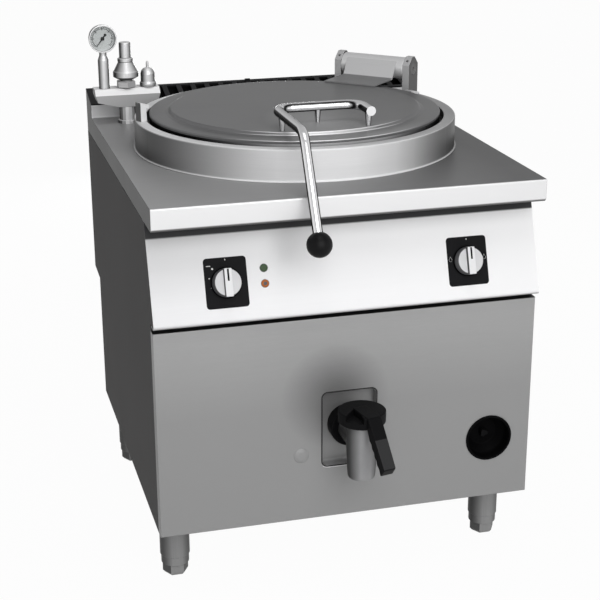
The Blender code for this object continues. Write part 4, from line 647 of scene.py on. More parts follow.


# The rolled rim is coloured nearly black: painted shade in the crease round the tray.
rim_path = [(x, FACE_Y + 0.0006, z)
            for x, z in rounded_box(TRAY[0] + 0.0004, TRAY[1] + 0.0004, 0.0122, (0, TRAY[2]))]
tray_rim = swept("tray_rim", [rim_path], 0.0015, 16, closed=True)
RIM_SHADE = satin_steel("rim_shade", grey(0.020), grey(0.035), 0.50, (300, 300, 300))
dressed(tray_rim, RIM_SHADE, "stainless", "cabinet")
# A thin bright bar along the tray's lower edge outside: a painted highlight where the hemmed edge catches
# the light.
outer = rounded_box(TRAY[0] + 0.0050, TRAY[1] + 0.0050, 0.0145, (0, TRAY[2]))
lip_path = sorted((x, FACE_Y + 0.0004, z) for x, z in outer if z < TRAY[2] - TRAY[1] / 2 + 0.003)
tray_highlight_bar = swept("tray_highlight_bar", [lip_path], 0.0010, 12)
LIP_HIGHLIGHT = satin_steel("lip_highlight", grey(0.75), grey(0.85), 0.30, (300, 300, 300))
dressed(tray_highlight_bar, LIP_HIGHLIGHT, "stainless", "cabinet")


# Legs and feet: round steel legs under the frame's cross rails, each with a collar, and
# hexagonal feet that screw in and out to level the kettle.
def shaded_sides(place, normal):
    """Painted shade: round pieces are darker at their sides, where less light falls on them."""
    return [(normal.part(0).size().spread(0.35, 0.97), grey(0.065))]


LEG_STEEL = satin_steel("leg_steel", grey(0.29), grey(0.35), 0.40, (500, 500, 12),
                        metal=0.2, masks=shaded_sides)
LEG_R = 0.0315
for name, x, y in (("front_left", -0.352, 0.145), ("front_right", 0.352, 0.145),
                   ("rear_left", -0.352, 0.725), ("rear_right", 0.352, 0.725)):
    spot = (x, FRONT + y, 0)
    sleeve = turned("leg_" + name,
                    [(0.0150, 0.0264), (0.0299, 0.0264, 0.001), (0.0299, 0.0455, 0.0008),
                     (LEG_R + 0.0004, 0.0465, 0.0012), (LEG_R + 0.0004, 0.1478), (0.0150, 0.1478)],
                    64, spot)
    dressed(sleeve, LEG_STEEL, "foot_steel", "cabinet")
    foot = turned("foot_" + name, [(0, 0), (0.0225, 0, 0.002), (0.0278, 0.006, 0.001),
                                   (0.0278, 0.0255, 0.0006), (0, 0.0255)], 6, spot, steps=2)
    for edge in foot.data.edges:
        edge.use_edge_sharp = False
    soften = foot.modifiers.new("edges", "BEVEL")
    soften.width = 0.0008
    soften.segments = 2
    settled(foot)
    stem = disc_cutter(0.0138, 0.020, 0.086, spot, sides=32)
    joined(foot, stem, "UNION")
    dressed(foot, LEG_STEEL, "foot_steel", "foot_" + name, "foot_" + name)


# Well collar: a spun ring of satin sheet, welded over the worktop's hole. Its flat rim carries the
# lid's guide and the water spout.
def collar_masks(place, normal):
    """As the photograph lights it: the wall dull toward its sides, the flat rim darker to the
    right."""
    rim = place.part(0).spread(-0.05, 0.33) * normal.toward((0, 0, 1), 0.8, 0.95)
    right = normal.part(0).spread(0.10, 0.50)
    far = normal.part(0).spread(0.48, 0.95)
    return [(right, grey(0.60, 0.602))] + shaded_sides(place, normal) + [
        (far, grey(0.03)), (rim, grey(0.27, 0.272))]


COLLAR_STEEL = satin_steel("collar_steel", grey(0.75, 0.755), grey(0.83, 0.835), 0.38, (14, 14, 900),
                           metal=0.1, masks=collar_masks)
RING_Z = 0.917
LEDGE_Z = 0.893
collar = turned("well_collar",
                [(0.353, TOP_Z + 0.0003), (0.353, TOP_Z + 0.0012, 0.0004), (0.350, TOP_Z + 0.0035, 0.003),
                 (0.350, RING_Z, 0.0035), (0.325, RING_Z, 0.0030), (0.325, LEDGE_Z + 0.0003),
                 (0.327, LEDGE_Z + 0.0003), (0.327, RING_Z - 0.004), (0.348, RING_Z - 0.004),
                 (0.348, TOP_Z + 0.0003)], 160, (0, WELL_Y, 0))
INLET_REACH, INLET_TURN = 0.3375, radians(8.2)
INLET = Vector((-INLET_REACH * cos(INLET_TURN), WELL_Y + INLET_REACH * sin(INLET_TURN), 0))
joined(collar, disc_cutter(0.0043, RING_Z - 0.02, RING_Z + 0.02, INLET, sides=32))
dressed(collar, COLLAR_STEEL, "stainless", "cabinet", "well_collar")


# Inner vessel: the cooking pan, spun and polished inside, hung in the well with a seat for the lid.
# The steam jacket, its wool and the heating rods round it keep their CAD shapes.
VESSEL_STEEL = satin_steel("vessel_steel", grey(0.50), grey(0.60), 0.28, (20, 20, 500),
                           metal=0.8)
FLOOR_Z = 0.400
vessel = turned("inner_vessel",
                [(0.329, 0.891), (0.329, 0.893), (0.298, 0.893, 0.004), (0.298, FLOOR_Z + 0.010, 0.060),
                 (0.020, FLOOR_Z), (0.020, FLOOR_Z - 0.002), (0.300, FLOOR_Z + 0.008, 0.062),
                 (0.300, 0.891)], 128, (0, WELL_Y, 0), steps=8)
dressed(vessel, VESSEL_STEEL, "stainless", "cabinet", "inner_vessel")
repainted(FRAME_STEEL, "steam_jacket", "drain_pipe")


def wool(name):
    """Matted mineral wool."""
    material, start, output = bare_material(name)
    place = start.node("ShaderNodeTexCoord", output=3)
    fibres = place.stretched((300, 300, 900)).noise(1.0, 6.0, 0.7)
    shade = fibres.mixed((0.45, 0.40, 0.26), (0.82, 0.78, 0.62))
    bump = fibres.node("ShaderNodeBump", {}, {"Height": fibres, "Strength": 0.8, "Distance": 0.003})
    shader = start.node("ShaderNodeBsdfPrincipled", {}, {"Roughness": 0.95})
    shade.drives(shader.socket.node, "Base Color")
    bump.drives(shader.socket.node, "Normal")
    shader.drives(output, "Surface")
    return material


repainted(wool("mineral_wool"), "insulation_wrap")
BRASS = satin_steel("machined_brass", (0.58, 0.42, 0.20), (0.76, 0.58, 0.32), 0.30, (400, 400, 400),
                    metal=0.95)
repainted(BRASS, "heating_elements", "water_valve", "drain_plug")


# Lid: a pressed steel cover with a raised disc inside a flat flange, over a liner that drips
# back into the vessel.
def lid_masks(place, normal):
    """As the photograph lights it: the disc bright behind the handle and near the cook, the rim's
    wall dark at the sides and bright in front, and the edges that look forward and up the
    brightest."""
    x, y = place.part(0), place.part(1) + 0.17
    flat = normal.toward((0, 0, 1), 0.9, 0.99)
    glow = (x * x * 2.2 + y * y).root().spread(0.16, 0.0) * flat
    near = place.part(1).spread(-0.20, -0.29) * flat * x.spread(-0.25, 0.0)
    wall = normal.toward((0, 0, 1), 0.50, 0.10)
    low = wall * (place.part(2) < RING_Z + 0.003)
    edges = normal.toward((0, -0.62, 0.78), 0.90, 0.98)
    return [(near, grey(0.33, 0.333)), (glow, grey(0.40, 0.405)), (wall, grey(0.13, 0.132)),
            (low * x.size().spread(0.24, 0.08), grey(0.42, 0.425)),
            (low * x.size().spread(0.12, 0.26), grey(0.006)),
            (edges, grey(0.92, 0.925))]


LID_STEEL = satin_steel("lid_steel", grey(0.185, 0.188), grey(0.215, 0.218), 0.36, (12, 700, 700),
                        masks=lid_masks)
LID_LOW = 0.8933
FLANGE_Z = 0.9263
LID_Z = 0.9343
lid = turned("lid_shell",
             [(0.317, LID_LOW), (0.317, FLANGE_Z, 0.003), (0.2825, FLANGE_Z, 0.004),
              (0.2750, FLANGE_Z + 0.0015, 0.004), (0.2710, LID_Z, 0.0045), (0, LID_Z),
              (0, LID_Z - THIN), (0.2695, LID_Z - THIN, 0.003), (0.2740, FLANGE_Z, 0.002),
              (0.2820, FLANGE_Z - THIN, 0.002), (0.3155, FLANGE_Z - THIN, 0.002), (0.3155, LID_LOW)],
             160, (0, WELL_Y, 0))
dressed(lid, LID_STEEL, "stainless", "lid", "lid_shell")
liner = turned("lid_liner",
               [(0.3152, LID_LOW), (0.3152, LID_LOW + THIN), (0.290, LID_LOW + THIN, 0.002),
                (0.284, LID_LOW - 0.0065, 0.002), (0, LID_LOW - 0.0025), (0, LID_LOW - 0.004),
                (0.284, LID_LOW - 0.008, 0.003), (0.290, LID_LOW, 0.003)], 128, (0, WELL_Y, 0))
dressed(liner, VESSEL_STEEL, "stainless", "lid", "lid_liner")


# Lid handle: a bent chromed tube on three short posts, drawn out into a lever over the front,
# with a moulded ball at its end.
def plated(name, tint, rough, masks=None, metal=1.0):
    """Bright plating with faint ripples and fingermarks."""
    material, start, output = bare_material(name)
    place = start.node("ShaderNodeTexCoord", output=3)
    marks = place.noise(35.0, 4.0)
    ripple = place.noise(220.0, 1.0)
    bump = ripple.node("ShaderNodeBump", {}, {"Height": ripple, "Strength": 0.01, "Distance": 0.0003})
    shader = start.node("ShaderNodeBsdfPrincipled", {},
                        {"Metallic": metal, "Specular Tint": (0.12, 0.12, 0.12, 1)})
    shade = marks.mixed([c * 0.94 for c in tint], tint)
    shade = masked(shade, masks, place)
    shade.drives(shader.socket.node, "Base Color")
    (rough + marks * 0.06).drives(shader.socket.node, "Roughness")
    bump.drives(shader.socket.node, "Normal")
    shader.drives(output, "Surface")
    return material


def rounded_path(points, radius, steps=10):
    """A line of points with each inner corner turned into an arc."""
    points = [Vector(p) for p in points]
    path = [points[0]]
    for before, corner, after in zip(points, points[1:], points[2:]):
        inward = (before - corner).normalized()
        outward = (after - corner).normalized()
        opening = inward.angle(outward)
        reach = radius / tan(opening / 2)
        middle = corner + (inward + outward).normalized() * (radius / sin(opening / 2))
        first = corner + inward * reach
        last = corner + outward * reach
        sweep = (first - middle).rotation_difference(last - middle)
        for i in range(steps + 1):
            path.append(middle + Quaternion().slerp(sweep, i / steps) @ (first - middle))
    return path + [points[-1]]


HANDLE_Z = LID_Z + 0.033


def tube_masks(place, normal):
    """Painted reflection: dark lines on the chrome. On the lever and the side bars they lie at the two
    edges that the scene camera's view has, along a fixed direction, and on the cross tube along its front
    and back."""
    lever = place.part(1) < FRONT + 0.240
    flanks = (normal.toward((0.968, -0.251, 0), 0.70, 0.82)
              + normal.toward((-0.968, 0.251, 0), 0.70, 0.82))
    across = normal.part(1).size()
    line = across.spread(0.42, 0.60) * across.spread(0.92, 0.78)
    return [(flanks * lever + line * (1.0 - lever), grey(0.02))]


CHROME = plated("chrome", grey(0.88, 0.89), 0.10)
TUBE_CHROME = plated("tube_chrome", grey(0.90, 0.91), 0.10, tube_masks, 0.70)
HANDLE_X = 0.091
TUBE_R = 0.010
LEVER_LEAN = radians(29.9)
LEVER_LENGTH = 0.199
lean = Vector((0, -sin(LEVER_LEAN), -cos(LEVER_LEAN)))
knee = Vector((-HANDLE_X, FRONT + 0.0425, HANDLE_Z))
lever_end = knee + lean * LEVER_LENGTH
corners = [(HANDLE_X, FRONT + 0.187, HANDLE_Z), (HANDLE_X, FRONT + 0.266, HANDLE_Z),
           (-HANDLE_X, FRONT + 0.266, HANDLE_Z), knee]
bends = rounded_path(corners, 0.035)
tail = rounded_path([bends[-2], knee, lever_end], 0.040)
handle = swept("lid_handle", [bends[:-1] + tail[1:]], TUBE_R, 48)
for x, y in ((-HANDLE_X, 0.205), (0, 0.266), (HANDLE_X, 0.205)):
    post = turned("post", [(0, LID_Z + 0.0003), (0.0045, LID_Z + 0.0003), (0.0078, HANDLE_Z - 0.004),
                           (0, HANDLE_Z - 0.004)], 40, (x, FRONT + y, 0))
    joined(handle, post, "UNION")
dressed(handle, TUBE_CHROME, "chrome_bar", "lid", "lid_handle")

BALL_BLACK = enamel("ball_moulding", grey(0.005, 0.0055), grey(0.009, 0.0095), 0.42, gloss=0.10)
BALL_R = 0.025
BALL_STEPS = 24
flat = BALL_R - 0.003
profile = [(0, -flat)]
first = acos(-flat / BALL_R)
for i in range(BALL_STEPS):
    a = first * (1 - i / BALL_STEPS)
    profile.append((BALL_R * sin(a), BALL_R * cos(a)))
aim = lean.to_track_quat("Z", "Y").to_euler()
ball = turned("ball_knob", profile + [(0, BALL_R)], 64, lever_end + lean * (flat + 0.0003), aim)
dressed(ball, BALL_BLACK, "black_plastic", "lid", "ball_knob")


# Lid hinge: two uprights of thick bright plate bolted to the worktop, a fixed axle between them,
# and the tube that turns on it, which carries the lid by a bent strap.
def hinge_masks(place, normal):
    """The right side of each upright is darker, as the photograph lights it."""
    return [(normal.part(0).spread(0.75, 0.95), grey(0.13))]


HINGE_STEEL = satin_steel("hinge_steel", grey(0.48, 0.485), grey(0.54, 0.545), 0.38,
                          (300, 300, 14), metal=0.2, masks=hinge_masks)
TUBE_STEEL = satin_steel("tube_steel", grey(0.68, 0.685), grey(0.76, 0.765), 0.36, (14, 500, 500),
                         metal=0.3)


def strap_masks(place, normal):
    """The rising part is brighter than the flat end, as the photograph lights it."""
    rising = normal.toward((0, 0, 1), 0.92, 0.70) * (place.part(1) > -0.050)
    return [(rising, grey(0.62, 0.625))]


STRAP_STEEL = satin_steel("strap_steel", grey(0.23, 0.233), grey(0.26, 0.263), 0.40, (300, 300, 300),
                          metal=0.2, masks=strap_masks)
HINGE_TURN = radians(-45)
HINGE_Z = RING_Z + 0.040
HINGE_REACH = 0.392
AXIS = Vector((HINGE_REACH * sqrt(0.5), WELL_Y + HINGE_REACH * sqrt(0.5), HINGE_Z))
hinge_turn = (0, 0, HINGE_TURN)


def on_hinge(x, y=0.0, z=0.0):
    return AXIS + Matrix.Rotation(HINGE_TURN, 3, "Z") @ Vector((x, y, z))


axle_turn = (Matrix.Rotation(HINGE_TURN, 3, "Z") @ Matrix.Rotation(pi / 2, 3, "Y")).to_euler()
INNER, OUTER = 0.082, 0.0995
for side, name in ((-1, "hinge_upright_left"), (1, "hinge_upright_right")):
    foot = TOP_Z + 0.0003 - HINGE_Z
    outline = [(-0.0245, foot), (0.0245, foot), (0.0245, 0.011, 0.002), (0.0065, 0.029, 0.002),
               (-0.0065, 0.029, 0.002), (-0.0245, 0.011, 0.002)]
    low, high = sorted((side * INNER, side * OUTER))
    upright = pushed(name, softened(outline), low, high, "X", 0.0010, AXIS, hinge_turn)
    joined(upright, disc_cutter(0.0103, -0.12, 0.12, AXIS, axle_turn, 64))
    recess = sorted((side * (OUTER - 0.004), side * (OUTER + 0.02)))
    joined(upright, disc_cutter(0.0138, *recess, AXIS, axle_turn, 64))
    chamfer = on_hinge(side * (INNER + OUTER) / 2, -0.0155, 0.020)
    tilted = (Matrix.Rotation(HINGE_TURN, 3, "Z") @ Matrix.Rotation(pi / 4, 3, "X")).to_euler()
    joined(upright, disc_cutter(0.0032, -0.010, 0.010, chamfer, tilted, 32))
    dressed(upright, HINGE_STEEL, "bright_stainless", "cabinet", name)

axle = turned("hinge_axle",
              [(0, -OUTER), (0.0135, -OUTER, 0.0008), (0.0135, -0.0958), (0.010, -0.0958), (0.010, 0.0958),
               (0.0135, 0.0958), (0.0135, OUTER, 0.0008), (0.005, OUTER), (0.004, OUTER - 0.003),
               (0, OUTER - 0.003)], 64, AXIS, axle_turn)
AXLE_STEEL = satin_steel("axle_steel", grey(0.16), grey(0.22), 0.36, (400, 400, 400))
dressed(axle, AXLE_STEEL, "chrome_bar", "cabinet", "hinge_axle")
end = INNER - 0.0003
tube = turned("hinge_tube",
              [(0.0107, -end), (0.0255, -end, 0.0015), (0.0255, end, 0.0015), (0.0107, end),
               (0.0107, end - 0.008), (0.0225, end - 0.008), (0.0225, 0.008 - end),
               (0.0107, 0.008 - end)], 96, AXIS, axle_turn)
dressed(tube, TUBE_STEEL, "stainless", "lid", "hinge_tube")
repainted(CHROME, "counterbalance_spring", "water_pipe")

strap_z = LID_Z - HINGE_Z + 0.0003
STRAP_R = 0.0258
strap_line = [(STRAP_R * cos(radians(a)), STRAP_R * sin(radians(a))) for a in range(140, 166, 5)]
strap_bends = rounded_path([(0, *strap_line[-2]), (0, *strap_line[-1]), (0, -0.042, strap_z),
                            (0, -0.137, strap_z)], 0.010, 6)
strap_line = strap_line[:-1] + [(p.y, p.z) for p in strap_bends[1:]]
strap = sheet_line("lid_strap", strap_line, 0.065, 0.003)
strap.location = AXIS
strap.rotation_euler = hinge_turn
dressed(strap, STRAP_STEEL, "bright_stainless", "lid", "lid_strap")
repainted(TUBE_STEEL, "lid_guide")


# Water spout: a folded square duct of satin sheet, upright on the ring, with a short arm over the
# vessel. It stands where the photograph shows it, and the pipe's end, which the CAD spout covers,
# is left bare 23 mm behind it.
def spout_masks(place, normal):
    """The left side is darker, as the photograph lights it."""
    return [(normal.toward((-1, 0, 0), 0.5, 0.9), grey(0.10))]


SPOUT_STEEL = satin_steel("spout_steel", grey(0.86, 0.865), grey(0.92, 0.925), 0.38, (300, 300, 20),
                          metal=0.1, masks=spout_masks)
spout_line = [(0, 0), (0, 0.0405), (0.0228, 0.0340), (0.0226, 0.0262), (0.0145, 0.0270), (0.0160, 0)]
spout_foot = (-0.340, WELL_Y - 0.006, RING_Z + 0.0003)
spout = pushed("water_spout", spout_line, 0, 0.020, "Y", 0.0008, spout_foot, (0, 0, radians(25)))
dressed(spout, SPOUT_STEEL, "bright_stainless", "cabinet", "water_spout")


# Drain valve: a turned steel body with a tapered spout, its tail passing through a black ring in
# the tray, and a moulded cap whose lever hangs over the spout.
VALVE_STEEL = satin_steel("valve_steel", grey(0.34, 0.345), grey(0.39, 0.395), 0.38, (90, 90, 40),
                          metal=0.2, masks=shaded_sides)
VALVE_Y = FRONT - 0.058
CAP_Z = 0.3968
FOOT_Z = 0.2768
body = turned("drain_valve_body",
              [(0, FOOT_Z), (0.0265, FOOT_Z, 0.001), (0.0280, FOOT_Z + 0.004, 0.002),
               (0.0295, FOOT_Z + 0.025), (0.0315, DRAIN_Z, 0.02), (0.0315, CAP_Z - 0.0003),
               (0, CAP_Z - 0.0003)], 96, (0, VALVE_Y, 0))
lying = (-pi / 2, 0, 0)
centre = (0, VALVE_Y, DRAIN_Z)
joined(body, disc_cutter(0.026, 0.001, 0.128, centre, lying, 64), "UNION")
bore = turned("cutter", [(0, FOOT_Z - 0.01), (0.0228, FOOT_Z - 0.01), (0.0228, 0.3188),
                         (0.0245, CAP_Z), (0.0245, CAP_Z + 0.01), (0, CAP_Z + 0.01)], 96, (0, VALVE_Y, 0))
joined(body, bore)
joined(body, disc_cutter(0.020, 0.0015, 0.14, centre, lying, 64))
dressed(body, VALVE_STEEL, "stainless", "cabinet", "drain_valve_body")


def lever_masks(place, normal):
    """As the photograph lights it: the lower half of the lever's face is grey, its end black."""
    face = normal.toward((0, -0.81, 0.59), 0.80, 0.95) * (place.part(2) < 0.388)
    end = normal.toward((0, -0.588, -0.809), 0.80, 0.95)
    return [(face, grey(0.036, 0.037)), (end, grey(0.001))]


VALVE_BLACK = enamel("valve_moulding", grey(0.004, 0.0045), grey(0.008, 0.0085), 0.45, 1200.0, 0.08,
                     0.05, lever_masks)
ring = turned("valve_flange", [(0.0263, 0.018), (0.041, 0.018, 0.003), (0.041, 0.0477), (0.0263, 0.0477)],
              96, (0, FRONT, DRAIN_Z), lying)
dressed(ring, VALVE_BLACK, "black_plastic", "cabinet", "valve_flange")

CAP_R = 0.048
CAP_TOP = CAP_Z + 0.026
cap = turned("drain_handle",
             [(0, CAP_Z), (CAP_R, CAP_Z, 0.004), (CAP_R, CAP_TOP, 0.0025), (0, CAP_TOP)], 96,
             (0, VALVE_Y, 0))
edge = CAP_R + 0.012
notch = softened([(-0.010, 0.012, 0.003), (-edge, -0.045), (-edge, -edge), (-0.010, -edge)])
joined(cap, pushed("cutter", notch, CAP_TOP - 0.012, CAP_TOP + 0.01, "Z", place=(0, VALVE_Y, 0)))
ARM_SLOPE = radians(54)
out, down = cos(ARM_SLOPE), -sin(ARM_SLOPE)
ARM, ARM_THICK, ARM_TIP = 0.106, 0.022, 0.0070
RIDGES, RIDGED_SHARE, RIDGE_DEEP = 8, 0.62, 0.0028
bend = (CAP_R + 0.002, CAP_TOP + 0.0015)
outline = [(-0.012, CAP_TOP - 0.013), (-0.012, bend[1]), (*bend, 0.006),
           (bend[0] + ARM * out, bend[1] + ARM * down, 0.004)]
for i in range(RIDGES + 1):
    along = ARM - ARM * RIDGED_SHARE * i / RIDGES + (0 if i else ARM_TIP)
    thick = ARM_THICK - (RIDGE_DEEP if i % 2 else 0)
    outline.append((bend[0] + along * out + thick * down, bend[1] + along * down - thick * out, 0.002))
outline.append((CAP_R - 0.003, CAP_Z + 0.006))
reach = ARM * out
arm = pushed("arm", softened([(-p[0], *p[1:]) for p in outline], 4), -0.5, 0.5, "X")
for corner in arm.data.vertices:
    share = min(max((-corner.co.y - bend[0]) / reach, 0), 1)
    corner.co.x *= 0.030 - 0.003 * share
soften = arm.modifiers.new("edges", "BEVEL")
soften.width = 0.0022
soften.segments = 3
soften.limit_method = "ANGLE"
soften.angle_limit = radians(50)
settled(arm)
arm.location = (0, VALVE_Y, 0)
arm.rotation_euler = (0, 0, radians(12))
joined(cap, arm, "UNION")
joined(cap, disc_cutter(0.0073, CAP_Z - 0.01, CAP_Z + 0.0143, (0, VALVE_Y, 0), sides=48))
dressed(cap, VALVE_BLACK, "black_plastic", "drain_lever", "drain_handle")


# Level tap and reset: a black cup sunk in the front sheet with the winged knob at its bottom, and
# the plain steel cap over the limit thermostat's reset.
CUP_BLACK = enamel("cup_moulding", grey(0.002, 0.0022), grey(0.005, 0.0055), 0.50, gloss=0.02)
cup = turned("level_cup",
             [(0.0462, -0.0015), (0.0462, -0.0024, 0.0004), (0.051, -0.0024, 0.0008), (0.051, -0.0003),
              (0.0482, -0.0003), (0.0482, 0.021), (0.032, 0.040), (0.008, 0.040), (0.008, 0.050),
              (0, 0.050), (0, 0.044), (0.0036, 0.044), (0.0036, 0.038), (0.030, 0.038, 0.004),
              (0.0462, 0.021, 0.01)], 96, CUP, lying)
dressed(cup, CUP_BLACK, "black_plastic", "cabinet", "level_cup")
WING_R, WING_REACH = 0.0047, 0.0043
wings = []
for middle in (0, 120, 240):
    hub = Vector((WING_REACH, 0))
    for a in range(-75, 76, 15):
        tip = hub + WING_R * Vector((cos(radians(a)), sin(radians(a))))
        p = Matrix.Rotation(radians(middle), 2) @ tip
        wings.append((p.x, p.y))
level_knob = pushed("level_knob", wings, 0.024, 0.036, "Z", 0.001, CUP, lying, rims="low")
joined(level_knob, disc_cutter(0.0030, 0.034, 0.0435, CUP, lying, 32), "UNION")
dressed(level_knob, VALVE_BLACK, "black_plastic", "level_knob", "level_knob")
reset = turned("reset_cap",
               [(0, -0.0035), (0.0088, -0.0030, 0.002), (0.0145, -0.0014, 0.001), (0.016, -0.0003),
                (0.0109, -0.0003), (0.0109, 0.0045), (0, 0.0045)], 64, RESET, lying)
dressed(reset, FACE_STEEL, "stainless", "cabinet", "reset_cap")


# Round controls: on each side a black printed plate with a bezel, and a silver knob with a raised
# grip, pushed on the shaft of the switch behind the panel.
PLATE_BLACK = enamel("plate_print", grey(0.008, 0.009), grey(0.014, 0.015), 0.50, gloss=0.04)
FACE = 0.0211


def knob_masks(place, normal):
    """As the photograph lights it: the grip's top bright and its flanks grey, its left and lower
    sides and the knob's wall dark."""
    flank = normal.toward((0, 0, 1), 0.75, 0.35)
    low = place.part(2) < FACE - 0.001
    high = 1.0 - low
    grip = (1.0 - flank) * (place.part(2) > FACE + 0.004)
    return [(grip, grey(0.84, 0.85)), (flank * low, grey(0.15, 0.155)),
            (flank * high, grey(0.45, 0.46)),
            (normal.toward((-1, 0, 0), 0.5, 0.85) * high, grey(0.10, 0.105)),
            (normal.toward((0, -1, 0), 0.5, 0.85) * high, grey(0.22, 0.225))]


SILVER = enamel("silver_coating", grey(0.66, 0.67), grey(0.74, 0.75), 0.40, 1500.0, 0.03, 0.15,
                knob_masks)
MARK_WHITE = enamel("print_white", grey(0.72, 0.71), grey(0.82, 0.81), 0.5)


def printed(name, outline, spot, raised=0.0019, finish=MARK_WHITE, slot="black_plate"):
    """A flat printed mark on a plate."""
    mark = pushed(name, outline, raised - 0.0006, raised + 0.0001, "Z", 0, spot, panel_turn)
    return dressed(mark, finish, slot, "cabinet")


DOT_SIDES = 20


def dot(x, y, radius, tall=1.0):
    turns = [2 * pi * i / DOT_SIDES for i in range(DOT_SIDES)]
    return [(x + radius * cos(a), y + radius * tall * sin(a)) for a in turns]


def droplet(x, y, size):
    """A drop's outline, point up."""
    ring = [(x + size * cos(radians(a)), y + size * sin(radians(a))) for a in range(-210, 31, 20)]
    return ring + [(x, y + 2.0 * size)]


for x, plate_name, knob_name in ((-KNOB_X, "regulator_plate", "regulator_knob"),
                                 (KNOB_X, "water_plate", "water_knob")):
    spot = on_panel(x)
    plate = pushed(plate_name, rounded_box(0.0855, 0.0995, 0.007), 0.0003, 0.0018, "Z", 0.0004,
                   spot, panel_turn, rims="high")
    bezel = turned("bezel", [(0, 0.0008), (0.031, 0.0008), (0.031, 0.0058, 0.0012), (0, 0.0058)], 80,
                   spot, panel_turn)
    joined(bezel, disc_cutter(0.0292, 0.0019, 0.05, spot, panel_turn, 80))
    joined(bezel, disc_cutter(0.0045, -0.01, 0.02, spot, panel_turn, 32))
    dressed(bezel, CUP_BLACK, "black_plate", "cabinet")
    joined(plate, disc_cutter(0.0308, 0.0006, 0.05, spot, panel_turn, 80))
    joined(plate, disc_cutter(0.0045, -0.01, 0.02, spot, panel_turn, 32))
    dressed(plate, PLATE_BLACK, "black_plate", "cabinet", plate_name)
    knob = turned(knob_name, [(0, 0.0021), (0.0285, 0.0021), (0.0285, 0.0071, 0.0005),
                              (0.0262, FACE, 0.0012), (0, FACE)], 96, spot, panel_turn)
    grip = pushed("grip", rounded_box(0.019, 0.0554, 0.0020), FACE - 0.008, FACE + 0.007, "Z", 0.0012,
                  spot, panel_turn, rims="high")
    for corner in grip.data.vertices:
        if corner.co.z > FACE:
            corner.co.x *= 0.80
    joined(knob, grip, "UNION")
    top = FACE + 0.0072
    pointer = [(0.003, top - 0.001), (0.003, top), (0.0262, top), (0.0280, top - 0.0015),
               (0.0280, FACE - 0.007), (0.0255, FACE - 0.007), (0.0255, top - 0.003)]
    mark = pushed(knob_name + "_mark", pointer, -0.0018, 0.0018, "X", 0, spot, panel_turn)
    dressed(mark, CUP_BLACK, "silver_knob", knob_name)
    joined(knob, disc_cutter(0.004, -0.012, 0.006, spot, panel_turn, 32), "UNION")
    dressed(knob, SILVER, "silver_knob", knob_name, knob_name)
repainted(CUP_BLACK, "heat_regulator", "water_selector", "cable_gland")
spot = on_panel(-KNOB_X)
for name, outline in (("off_mark", dot(0.0010, 0.0450, 0.0010, 1.5)),
                      ("hot_dot", dot(-0.0255, 0.0287, 0.0019)),
                      ("mid_dot", dot(-0.0330, 0.0105, 0.0014)),
                      ("low_dot", dot(-0.0300, -0.0080, 0.0009)),
                      ("hot_bar", rounded_box(0.0085, 0.0014, 0.0005, (-0.0330, 0.0345)))):
    printed(name, outline, spot)
spot = on_panel(KNOB_X)
printed("closed_mark", dot(0.0010, 0.0442, 0.0010, 1.5), spot)
for name, x in (("cold_water", -0.0362), ("hot_water", 0.0365)):
    printed(name + "_drop", droplet(x, 0.0045, 0.0034), spot, 0.0019)
    printed(name + "_drop_inside", droplet(x, 0.0045, 0.0030), spot, 0.0020, PLATE_BLACK)


# Pilot lamps: green for power and amber for heating, two moulded lenses pushed into the control
# panel from the front, beside the left-hand plate.
def lens(name, dark, light, core):
    """A translucent moulding, ribbed inside, over an unlit lamp."""
    material, start, output = bare_material(name)
    place = start.node("ShaderNodeTexCoord", output=3)
    ribs = place.noise(700.0, 2.0)
    radius = place.node("ShaderNodeVectorMath", {"operation": "LENGTH"},
                        {0: place.stretched((1, 1, 0))}, output=1)
    shade = (radius < 0.0036).mixed(ribs.mixed(dark, light), core)
    shade = (radius > 0.0076).mixed(shade, grey(0.30))
    shader = start.node("ShaderNodeBsdfPrincipled", {},
                        {"Roughness": 0.35, "Specular IOR Level": 0.15})
    shade.drives(shader.socket.node, "Base Color")
    shader.drives(output, "Surface")
    return material


for name, along, dark, light, core in (
        ("green_lamp", GREEN_UP, (0.035, 0.065, 0.030), (0.065, 0.105, 0.050), (0.050, 0.085, 0.038)),
        ("amber_lamp", AMBER_UP, (0.22, 0.055, 0.012), (0.60, 0.18, 0.04), grey(0.10, 0.11))):
    lamp = turned(name, [(0, -0.022), (0.006, -0.022), (0.006, 0.0003), (0.0085, 0.0003),
                         (0.0085, 0.0018, 0.0006), (0.0066, 0.0036, 0.001), (0, 0.0045)], 48,
                  on_panel(LAMP_X, along), panel_turn)
    dressed(lamp, lens(name + "_lens", dark, light, core), name.replace("lamp", "lens"), "cabinet", name)


# Safety group: a steam riser through the worktop, with a manifold box on it that carries the
# pressure gauge, the relief valve and the air inlet valve.
def fitting_masks(place, normal):
    """Turned fittings are bright in front and dark at their sides and below, as the photograph
    lights them."""
    return [(normal.part(0).size().spread(0.25, 0.90), grey(0.05)),
            (normal.toward((0, 0, -1), 0.1, 0.6), grey(0.10))]


FITTING_STEEL = satin_steel("fitting_steel", grey(0.80, 0.805), grey(0.88, 0.885), 0.30, (60, 60, 60),
                            metal=0.3, rim=0.05, masks=fitting_masks)


def box_masks(place, normal):
    """The front, the sloped underside and the ends are darker than the top and its chamfer, as the
    photograph lights them."""
    return [(normal.toward((0, 0, -1), 0.05, 0.30), grey(0.22, 0.222)),
            (normal.toward((0, -1, 0), 0.85, 0.97), grey(0.47, 0.472)),
            (normal.part(0).size().spread(0.7, 0.95), grey(0.12))]


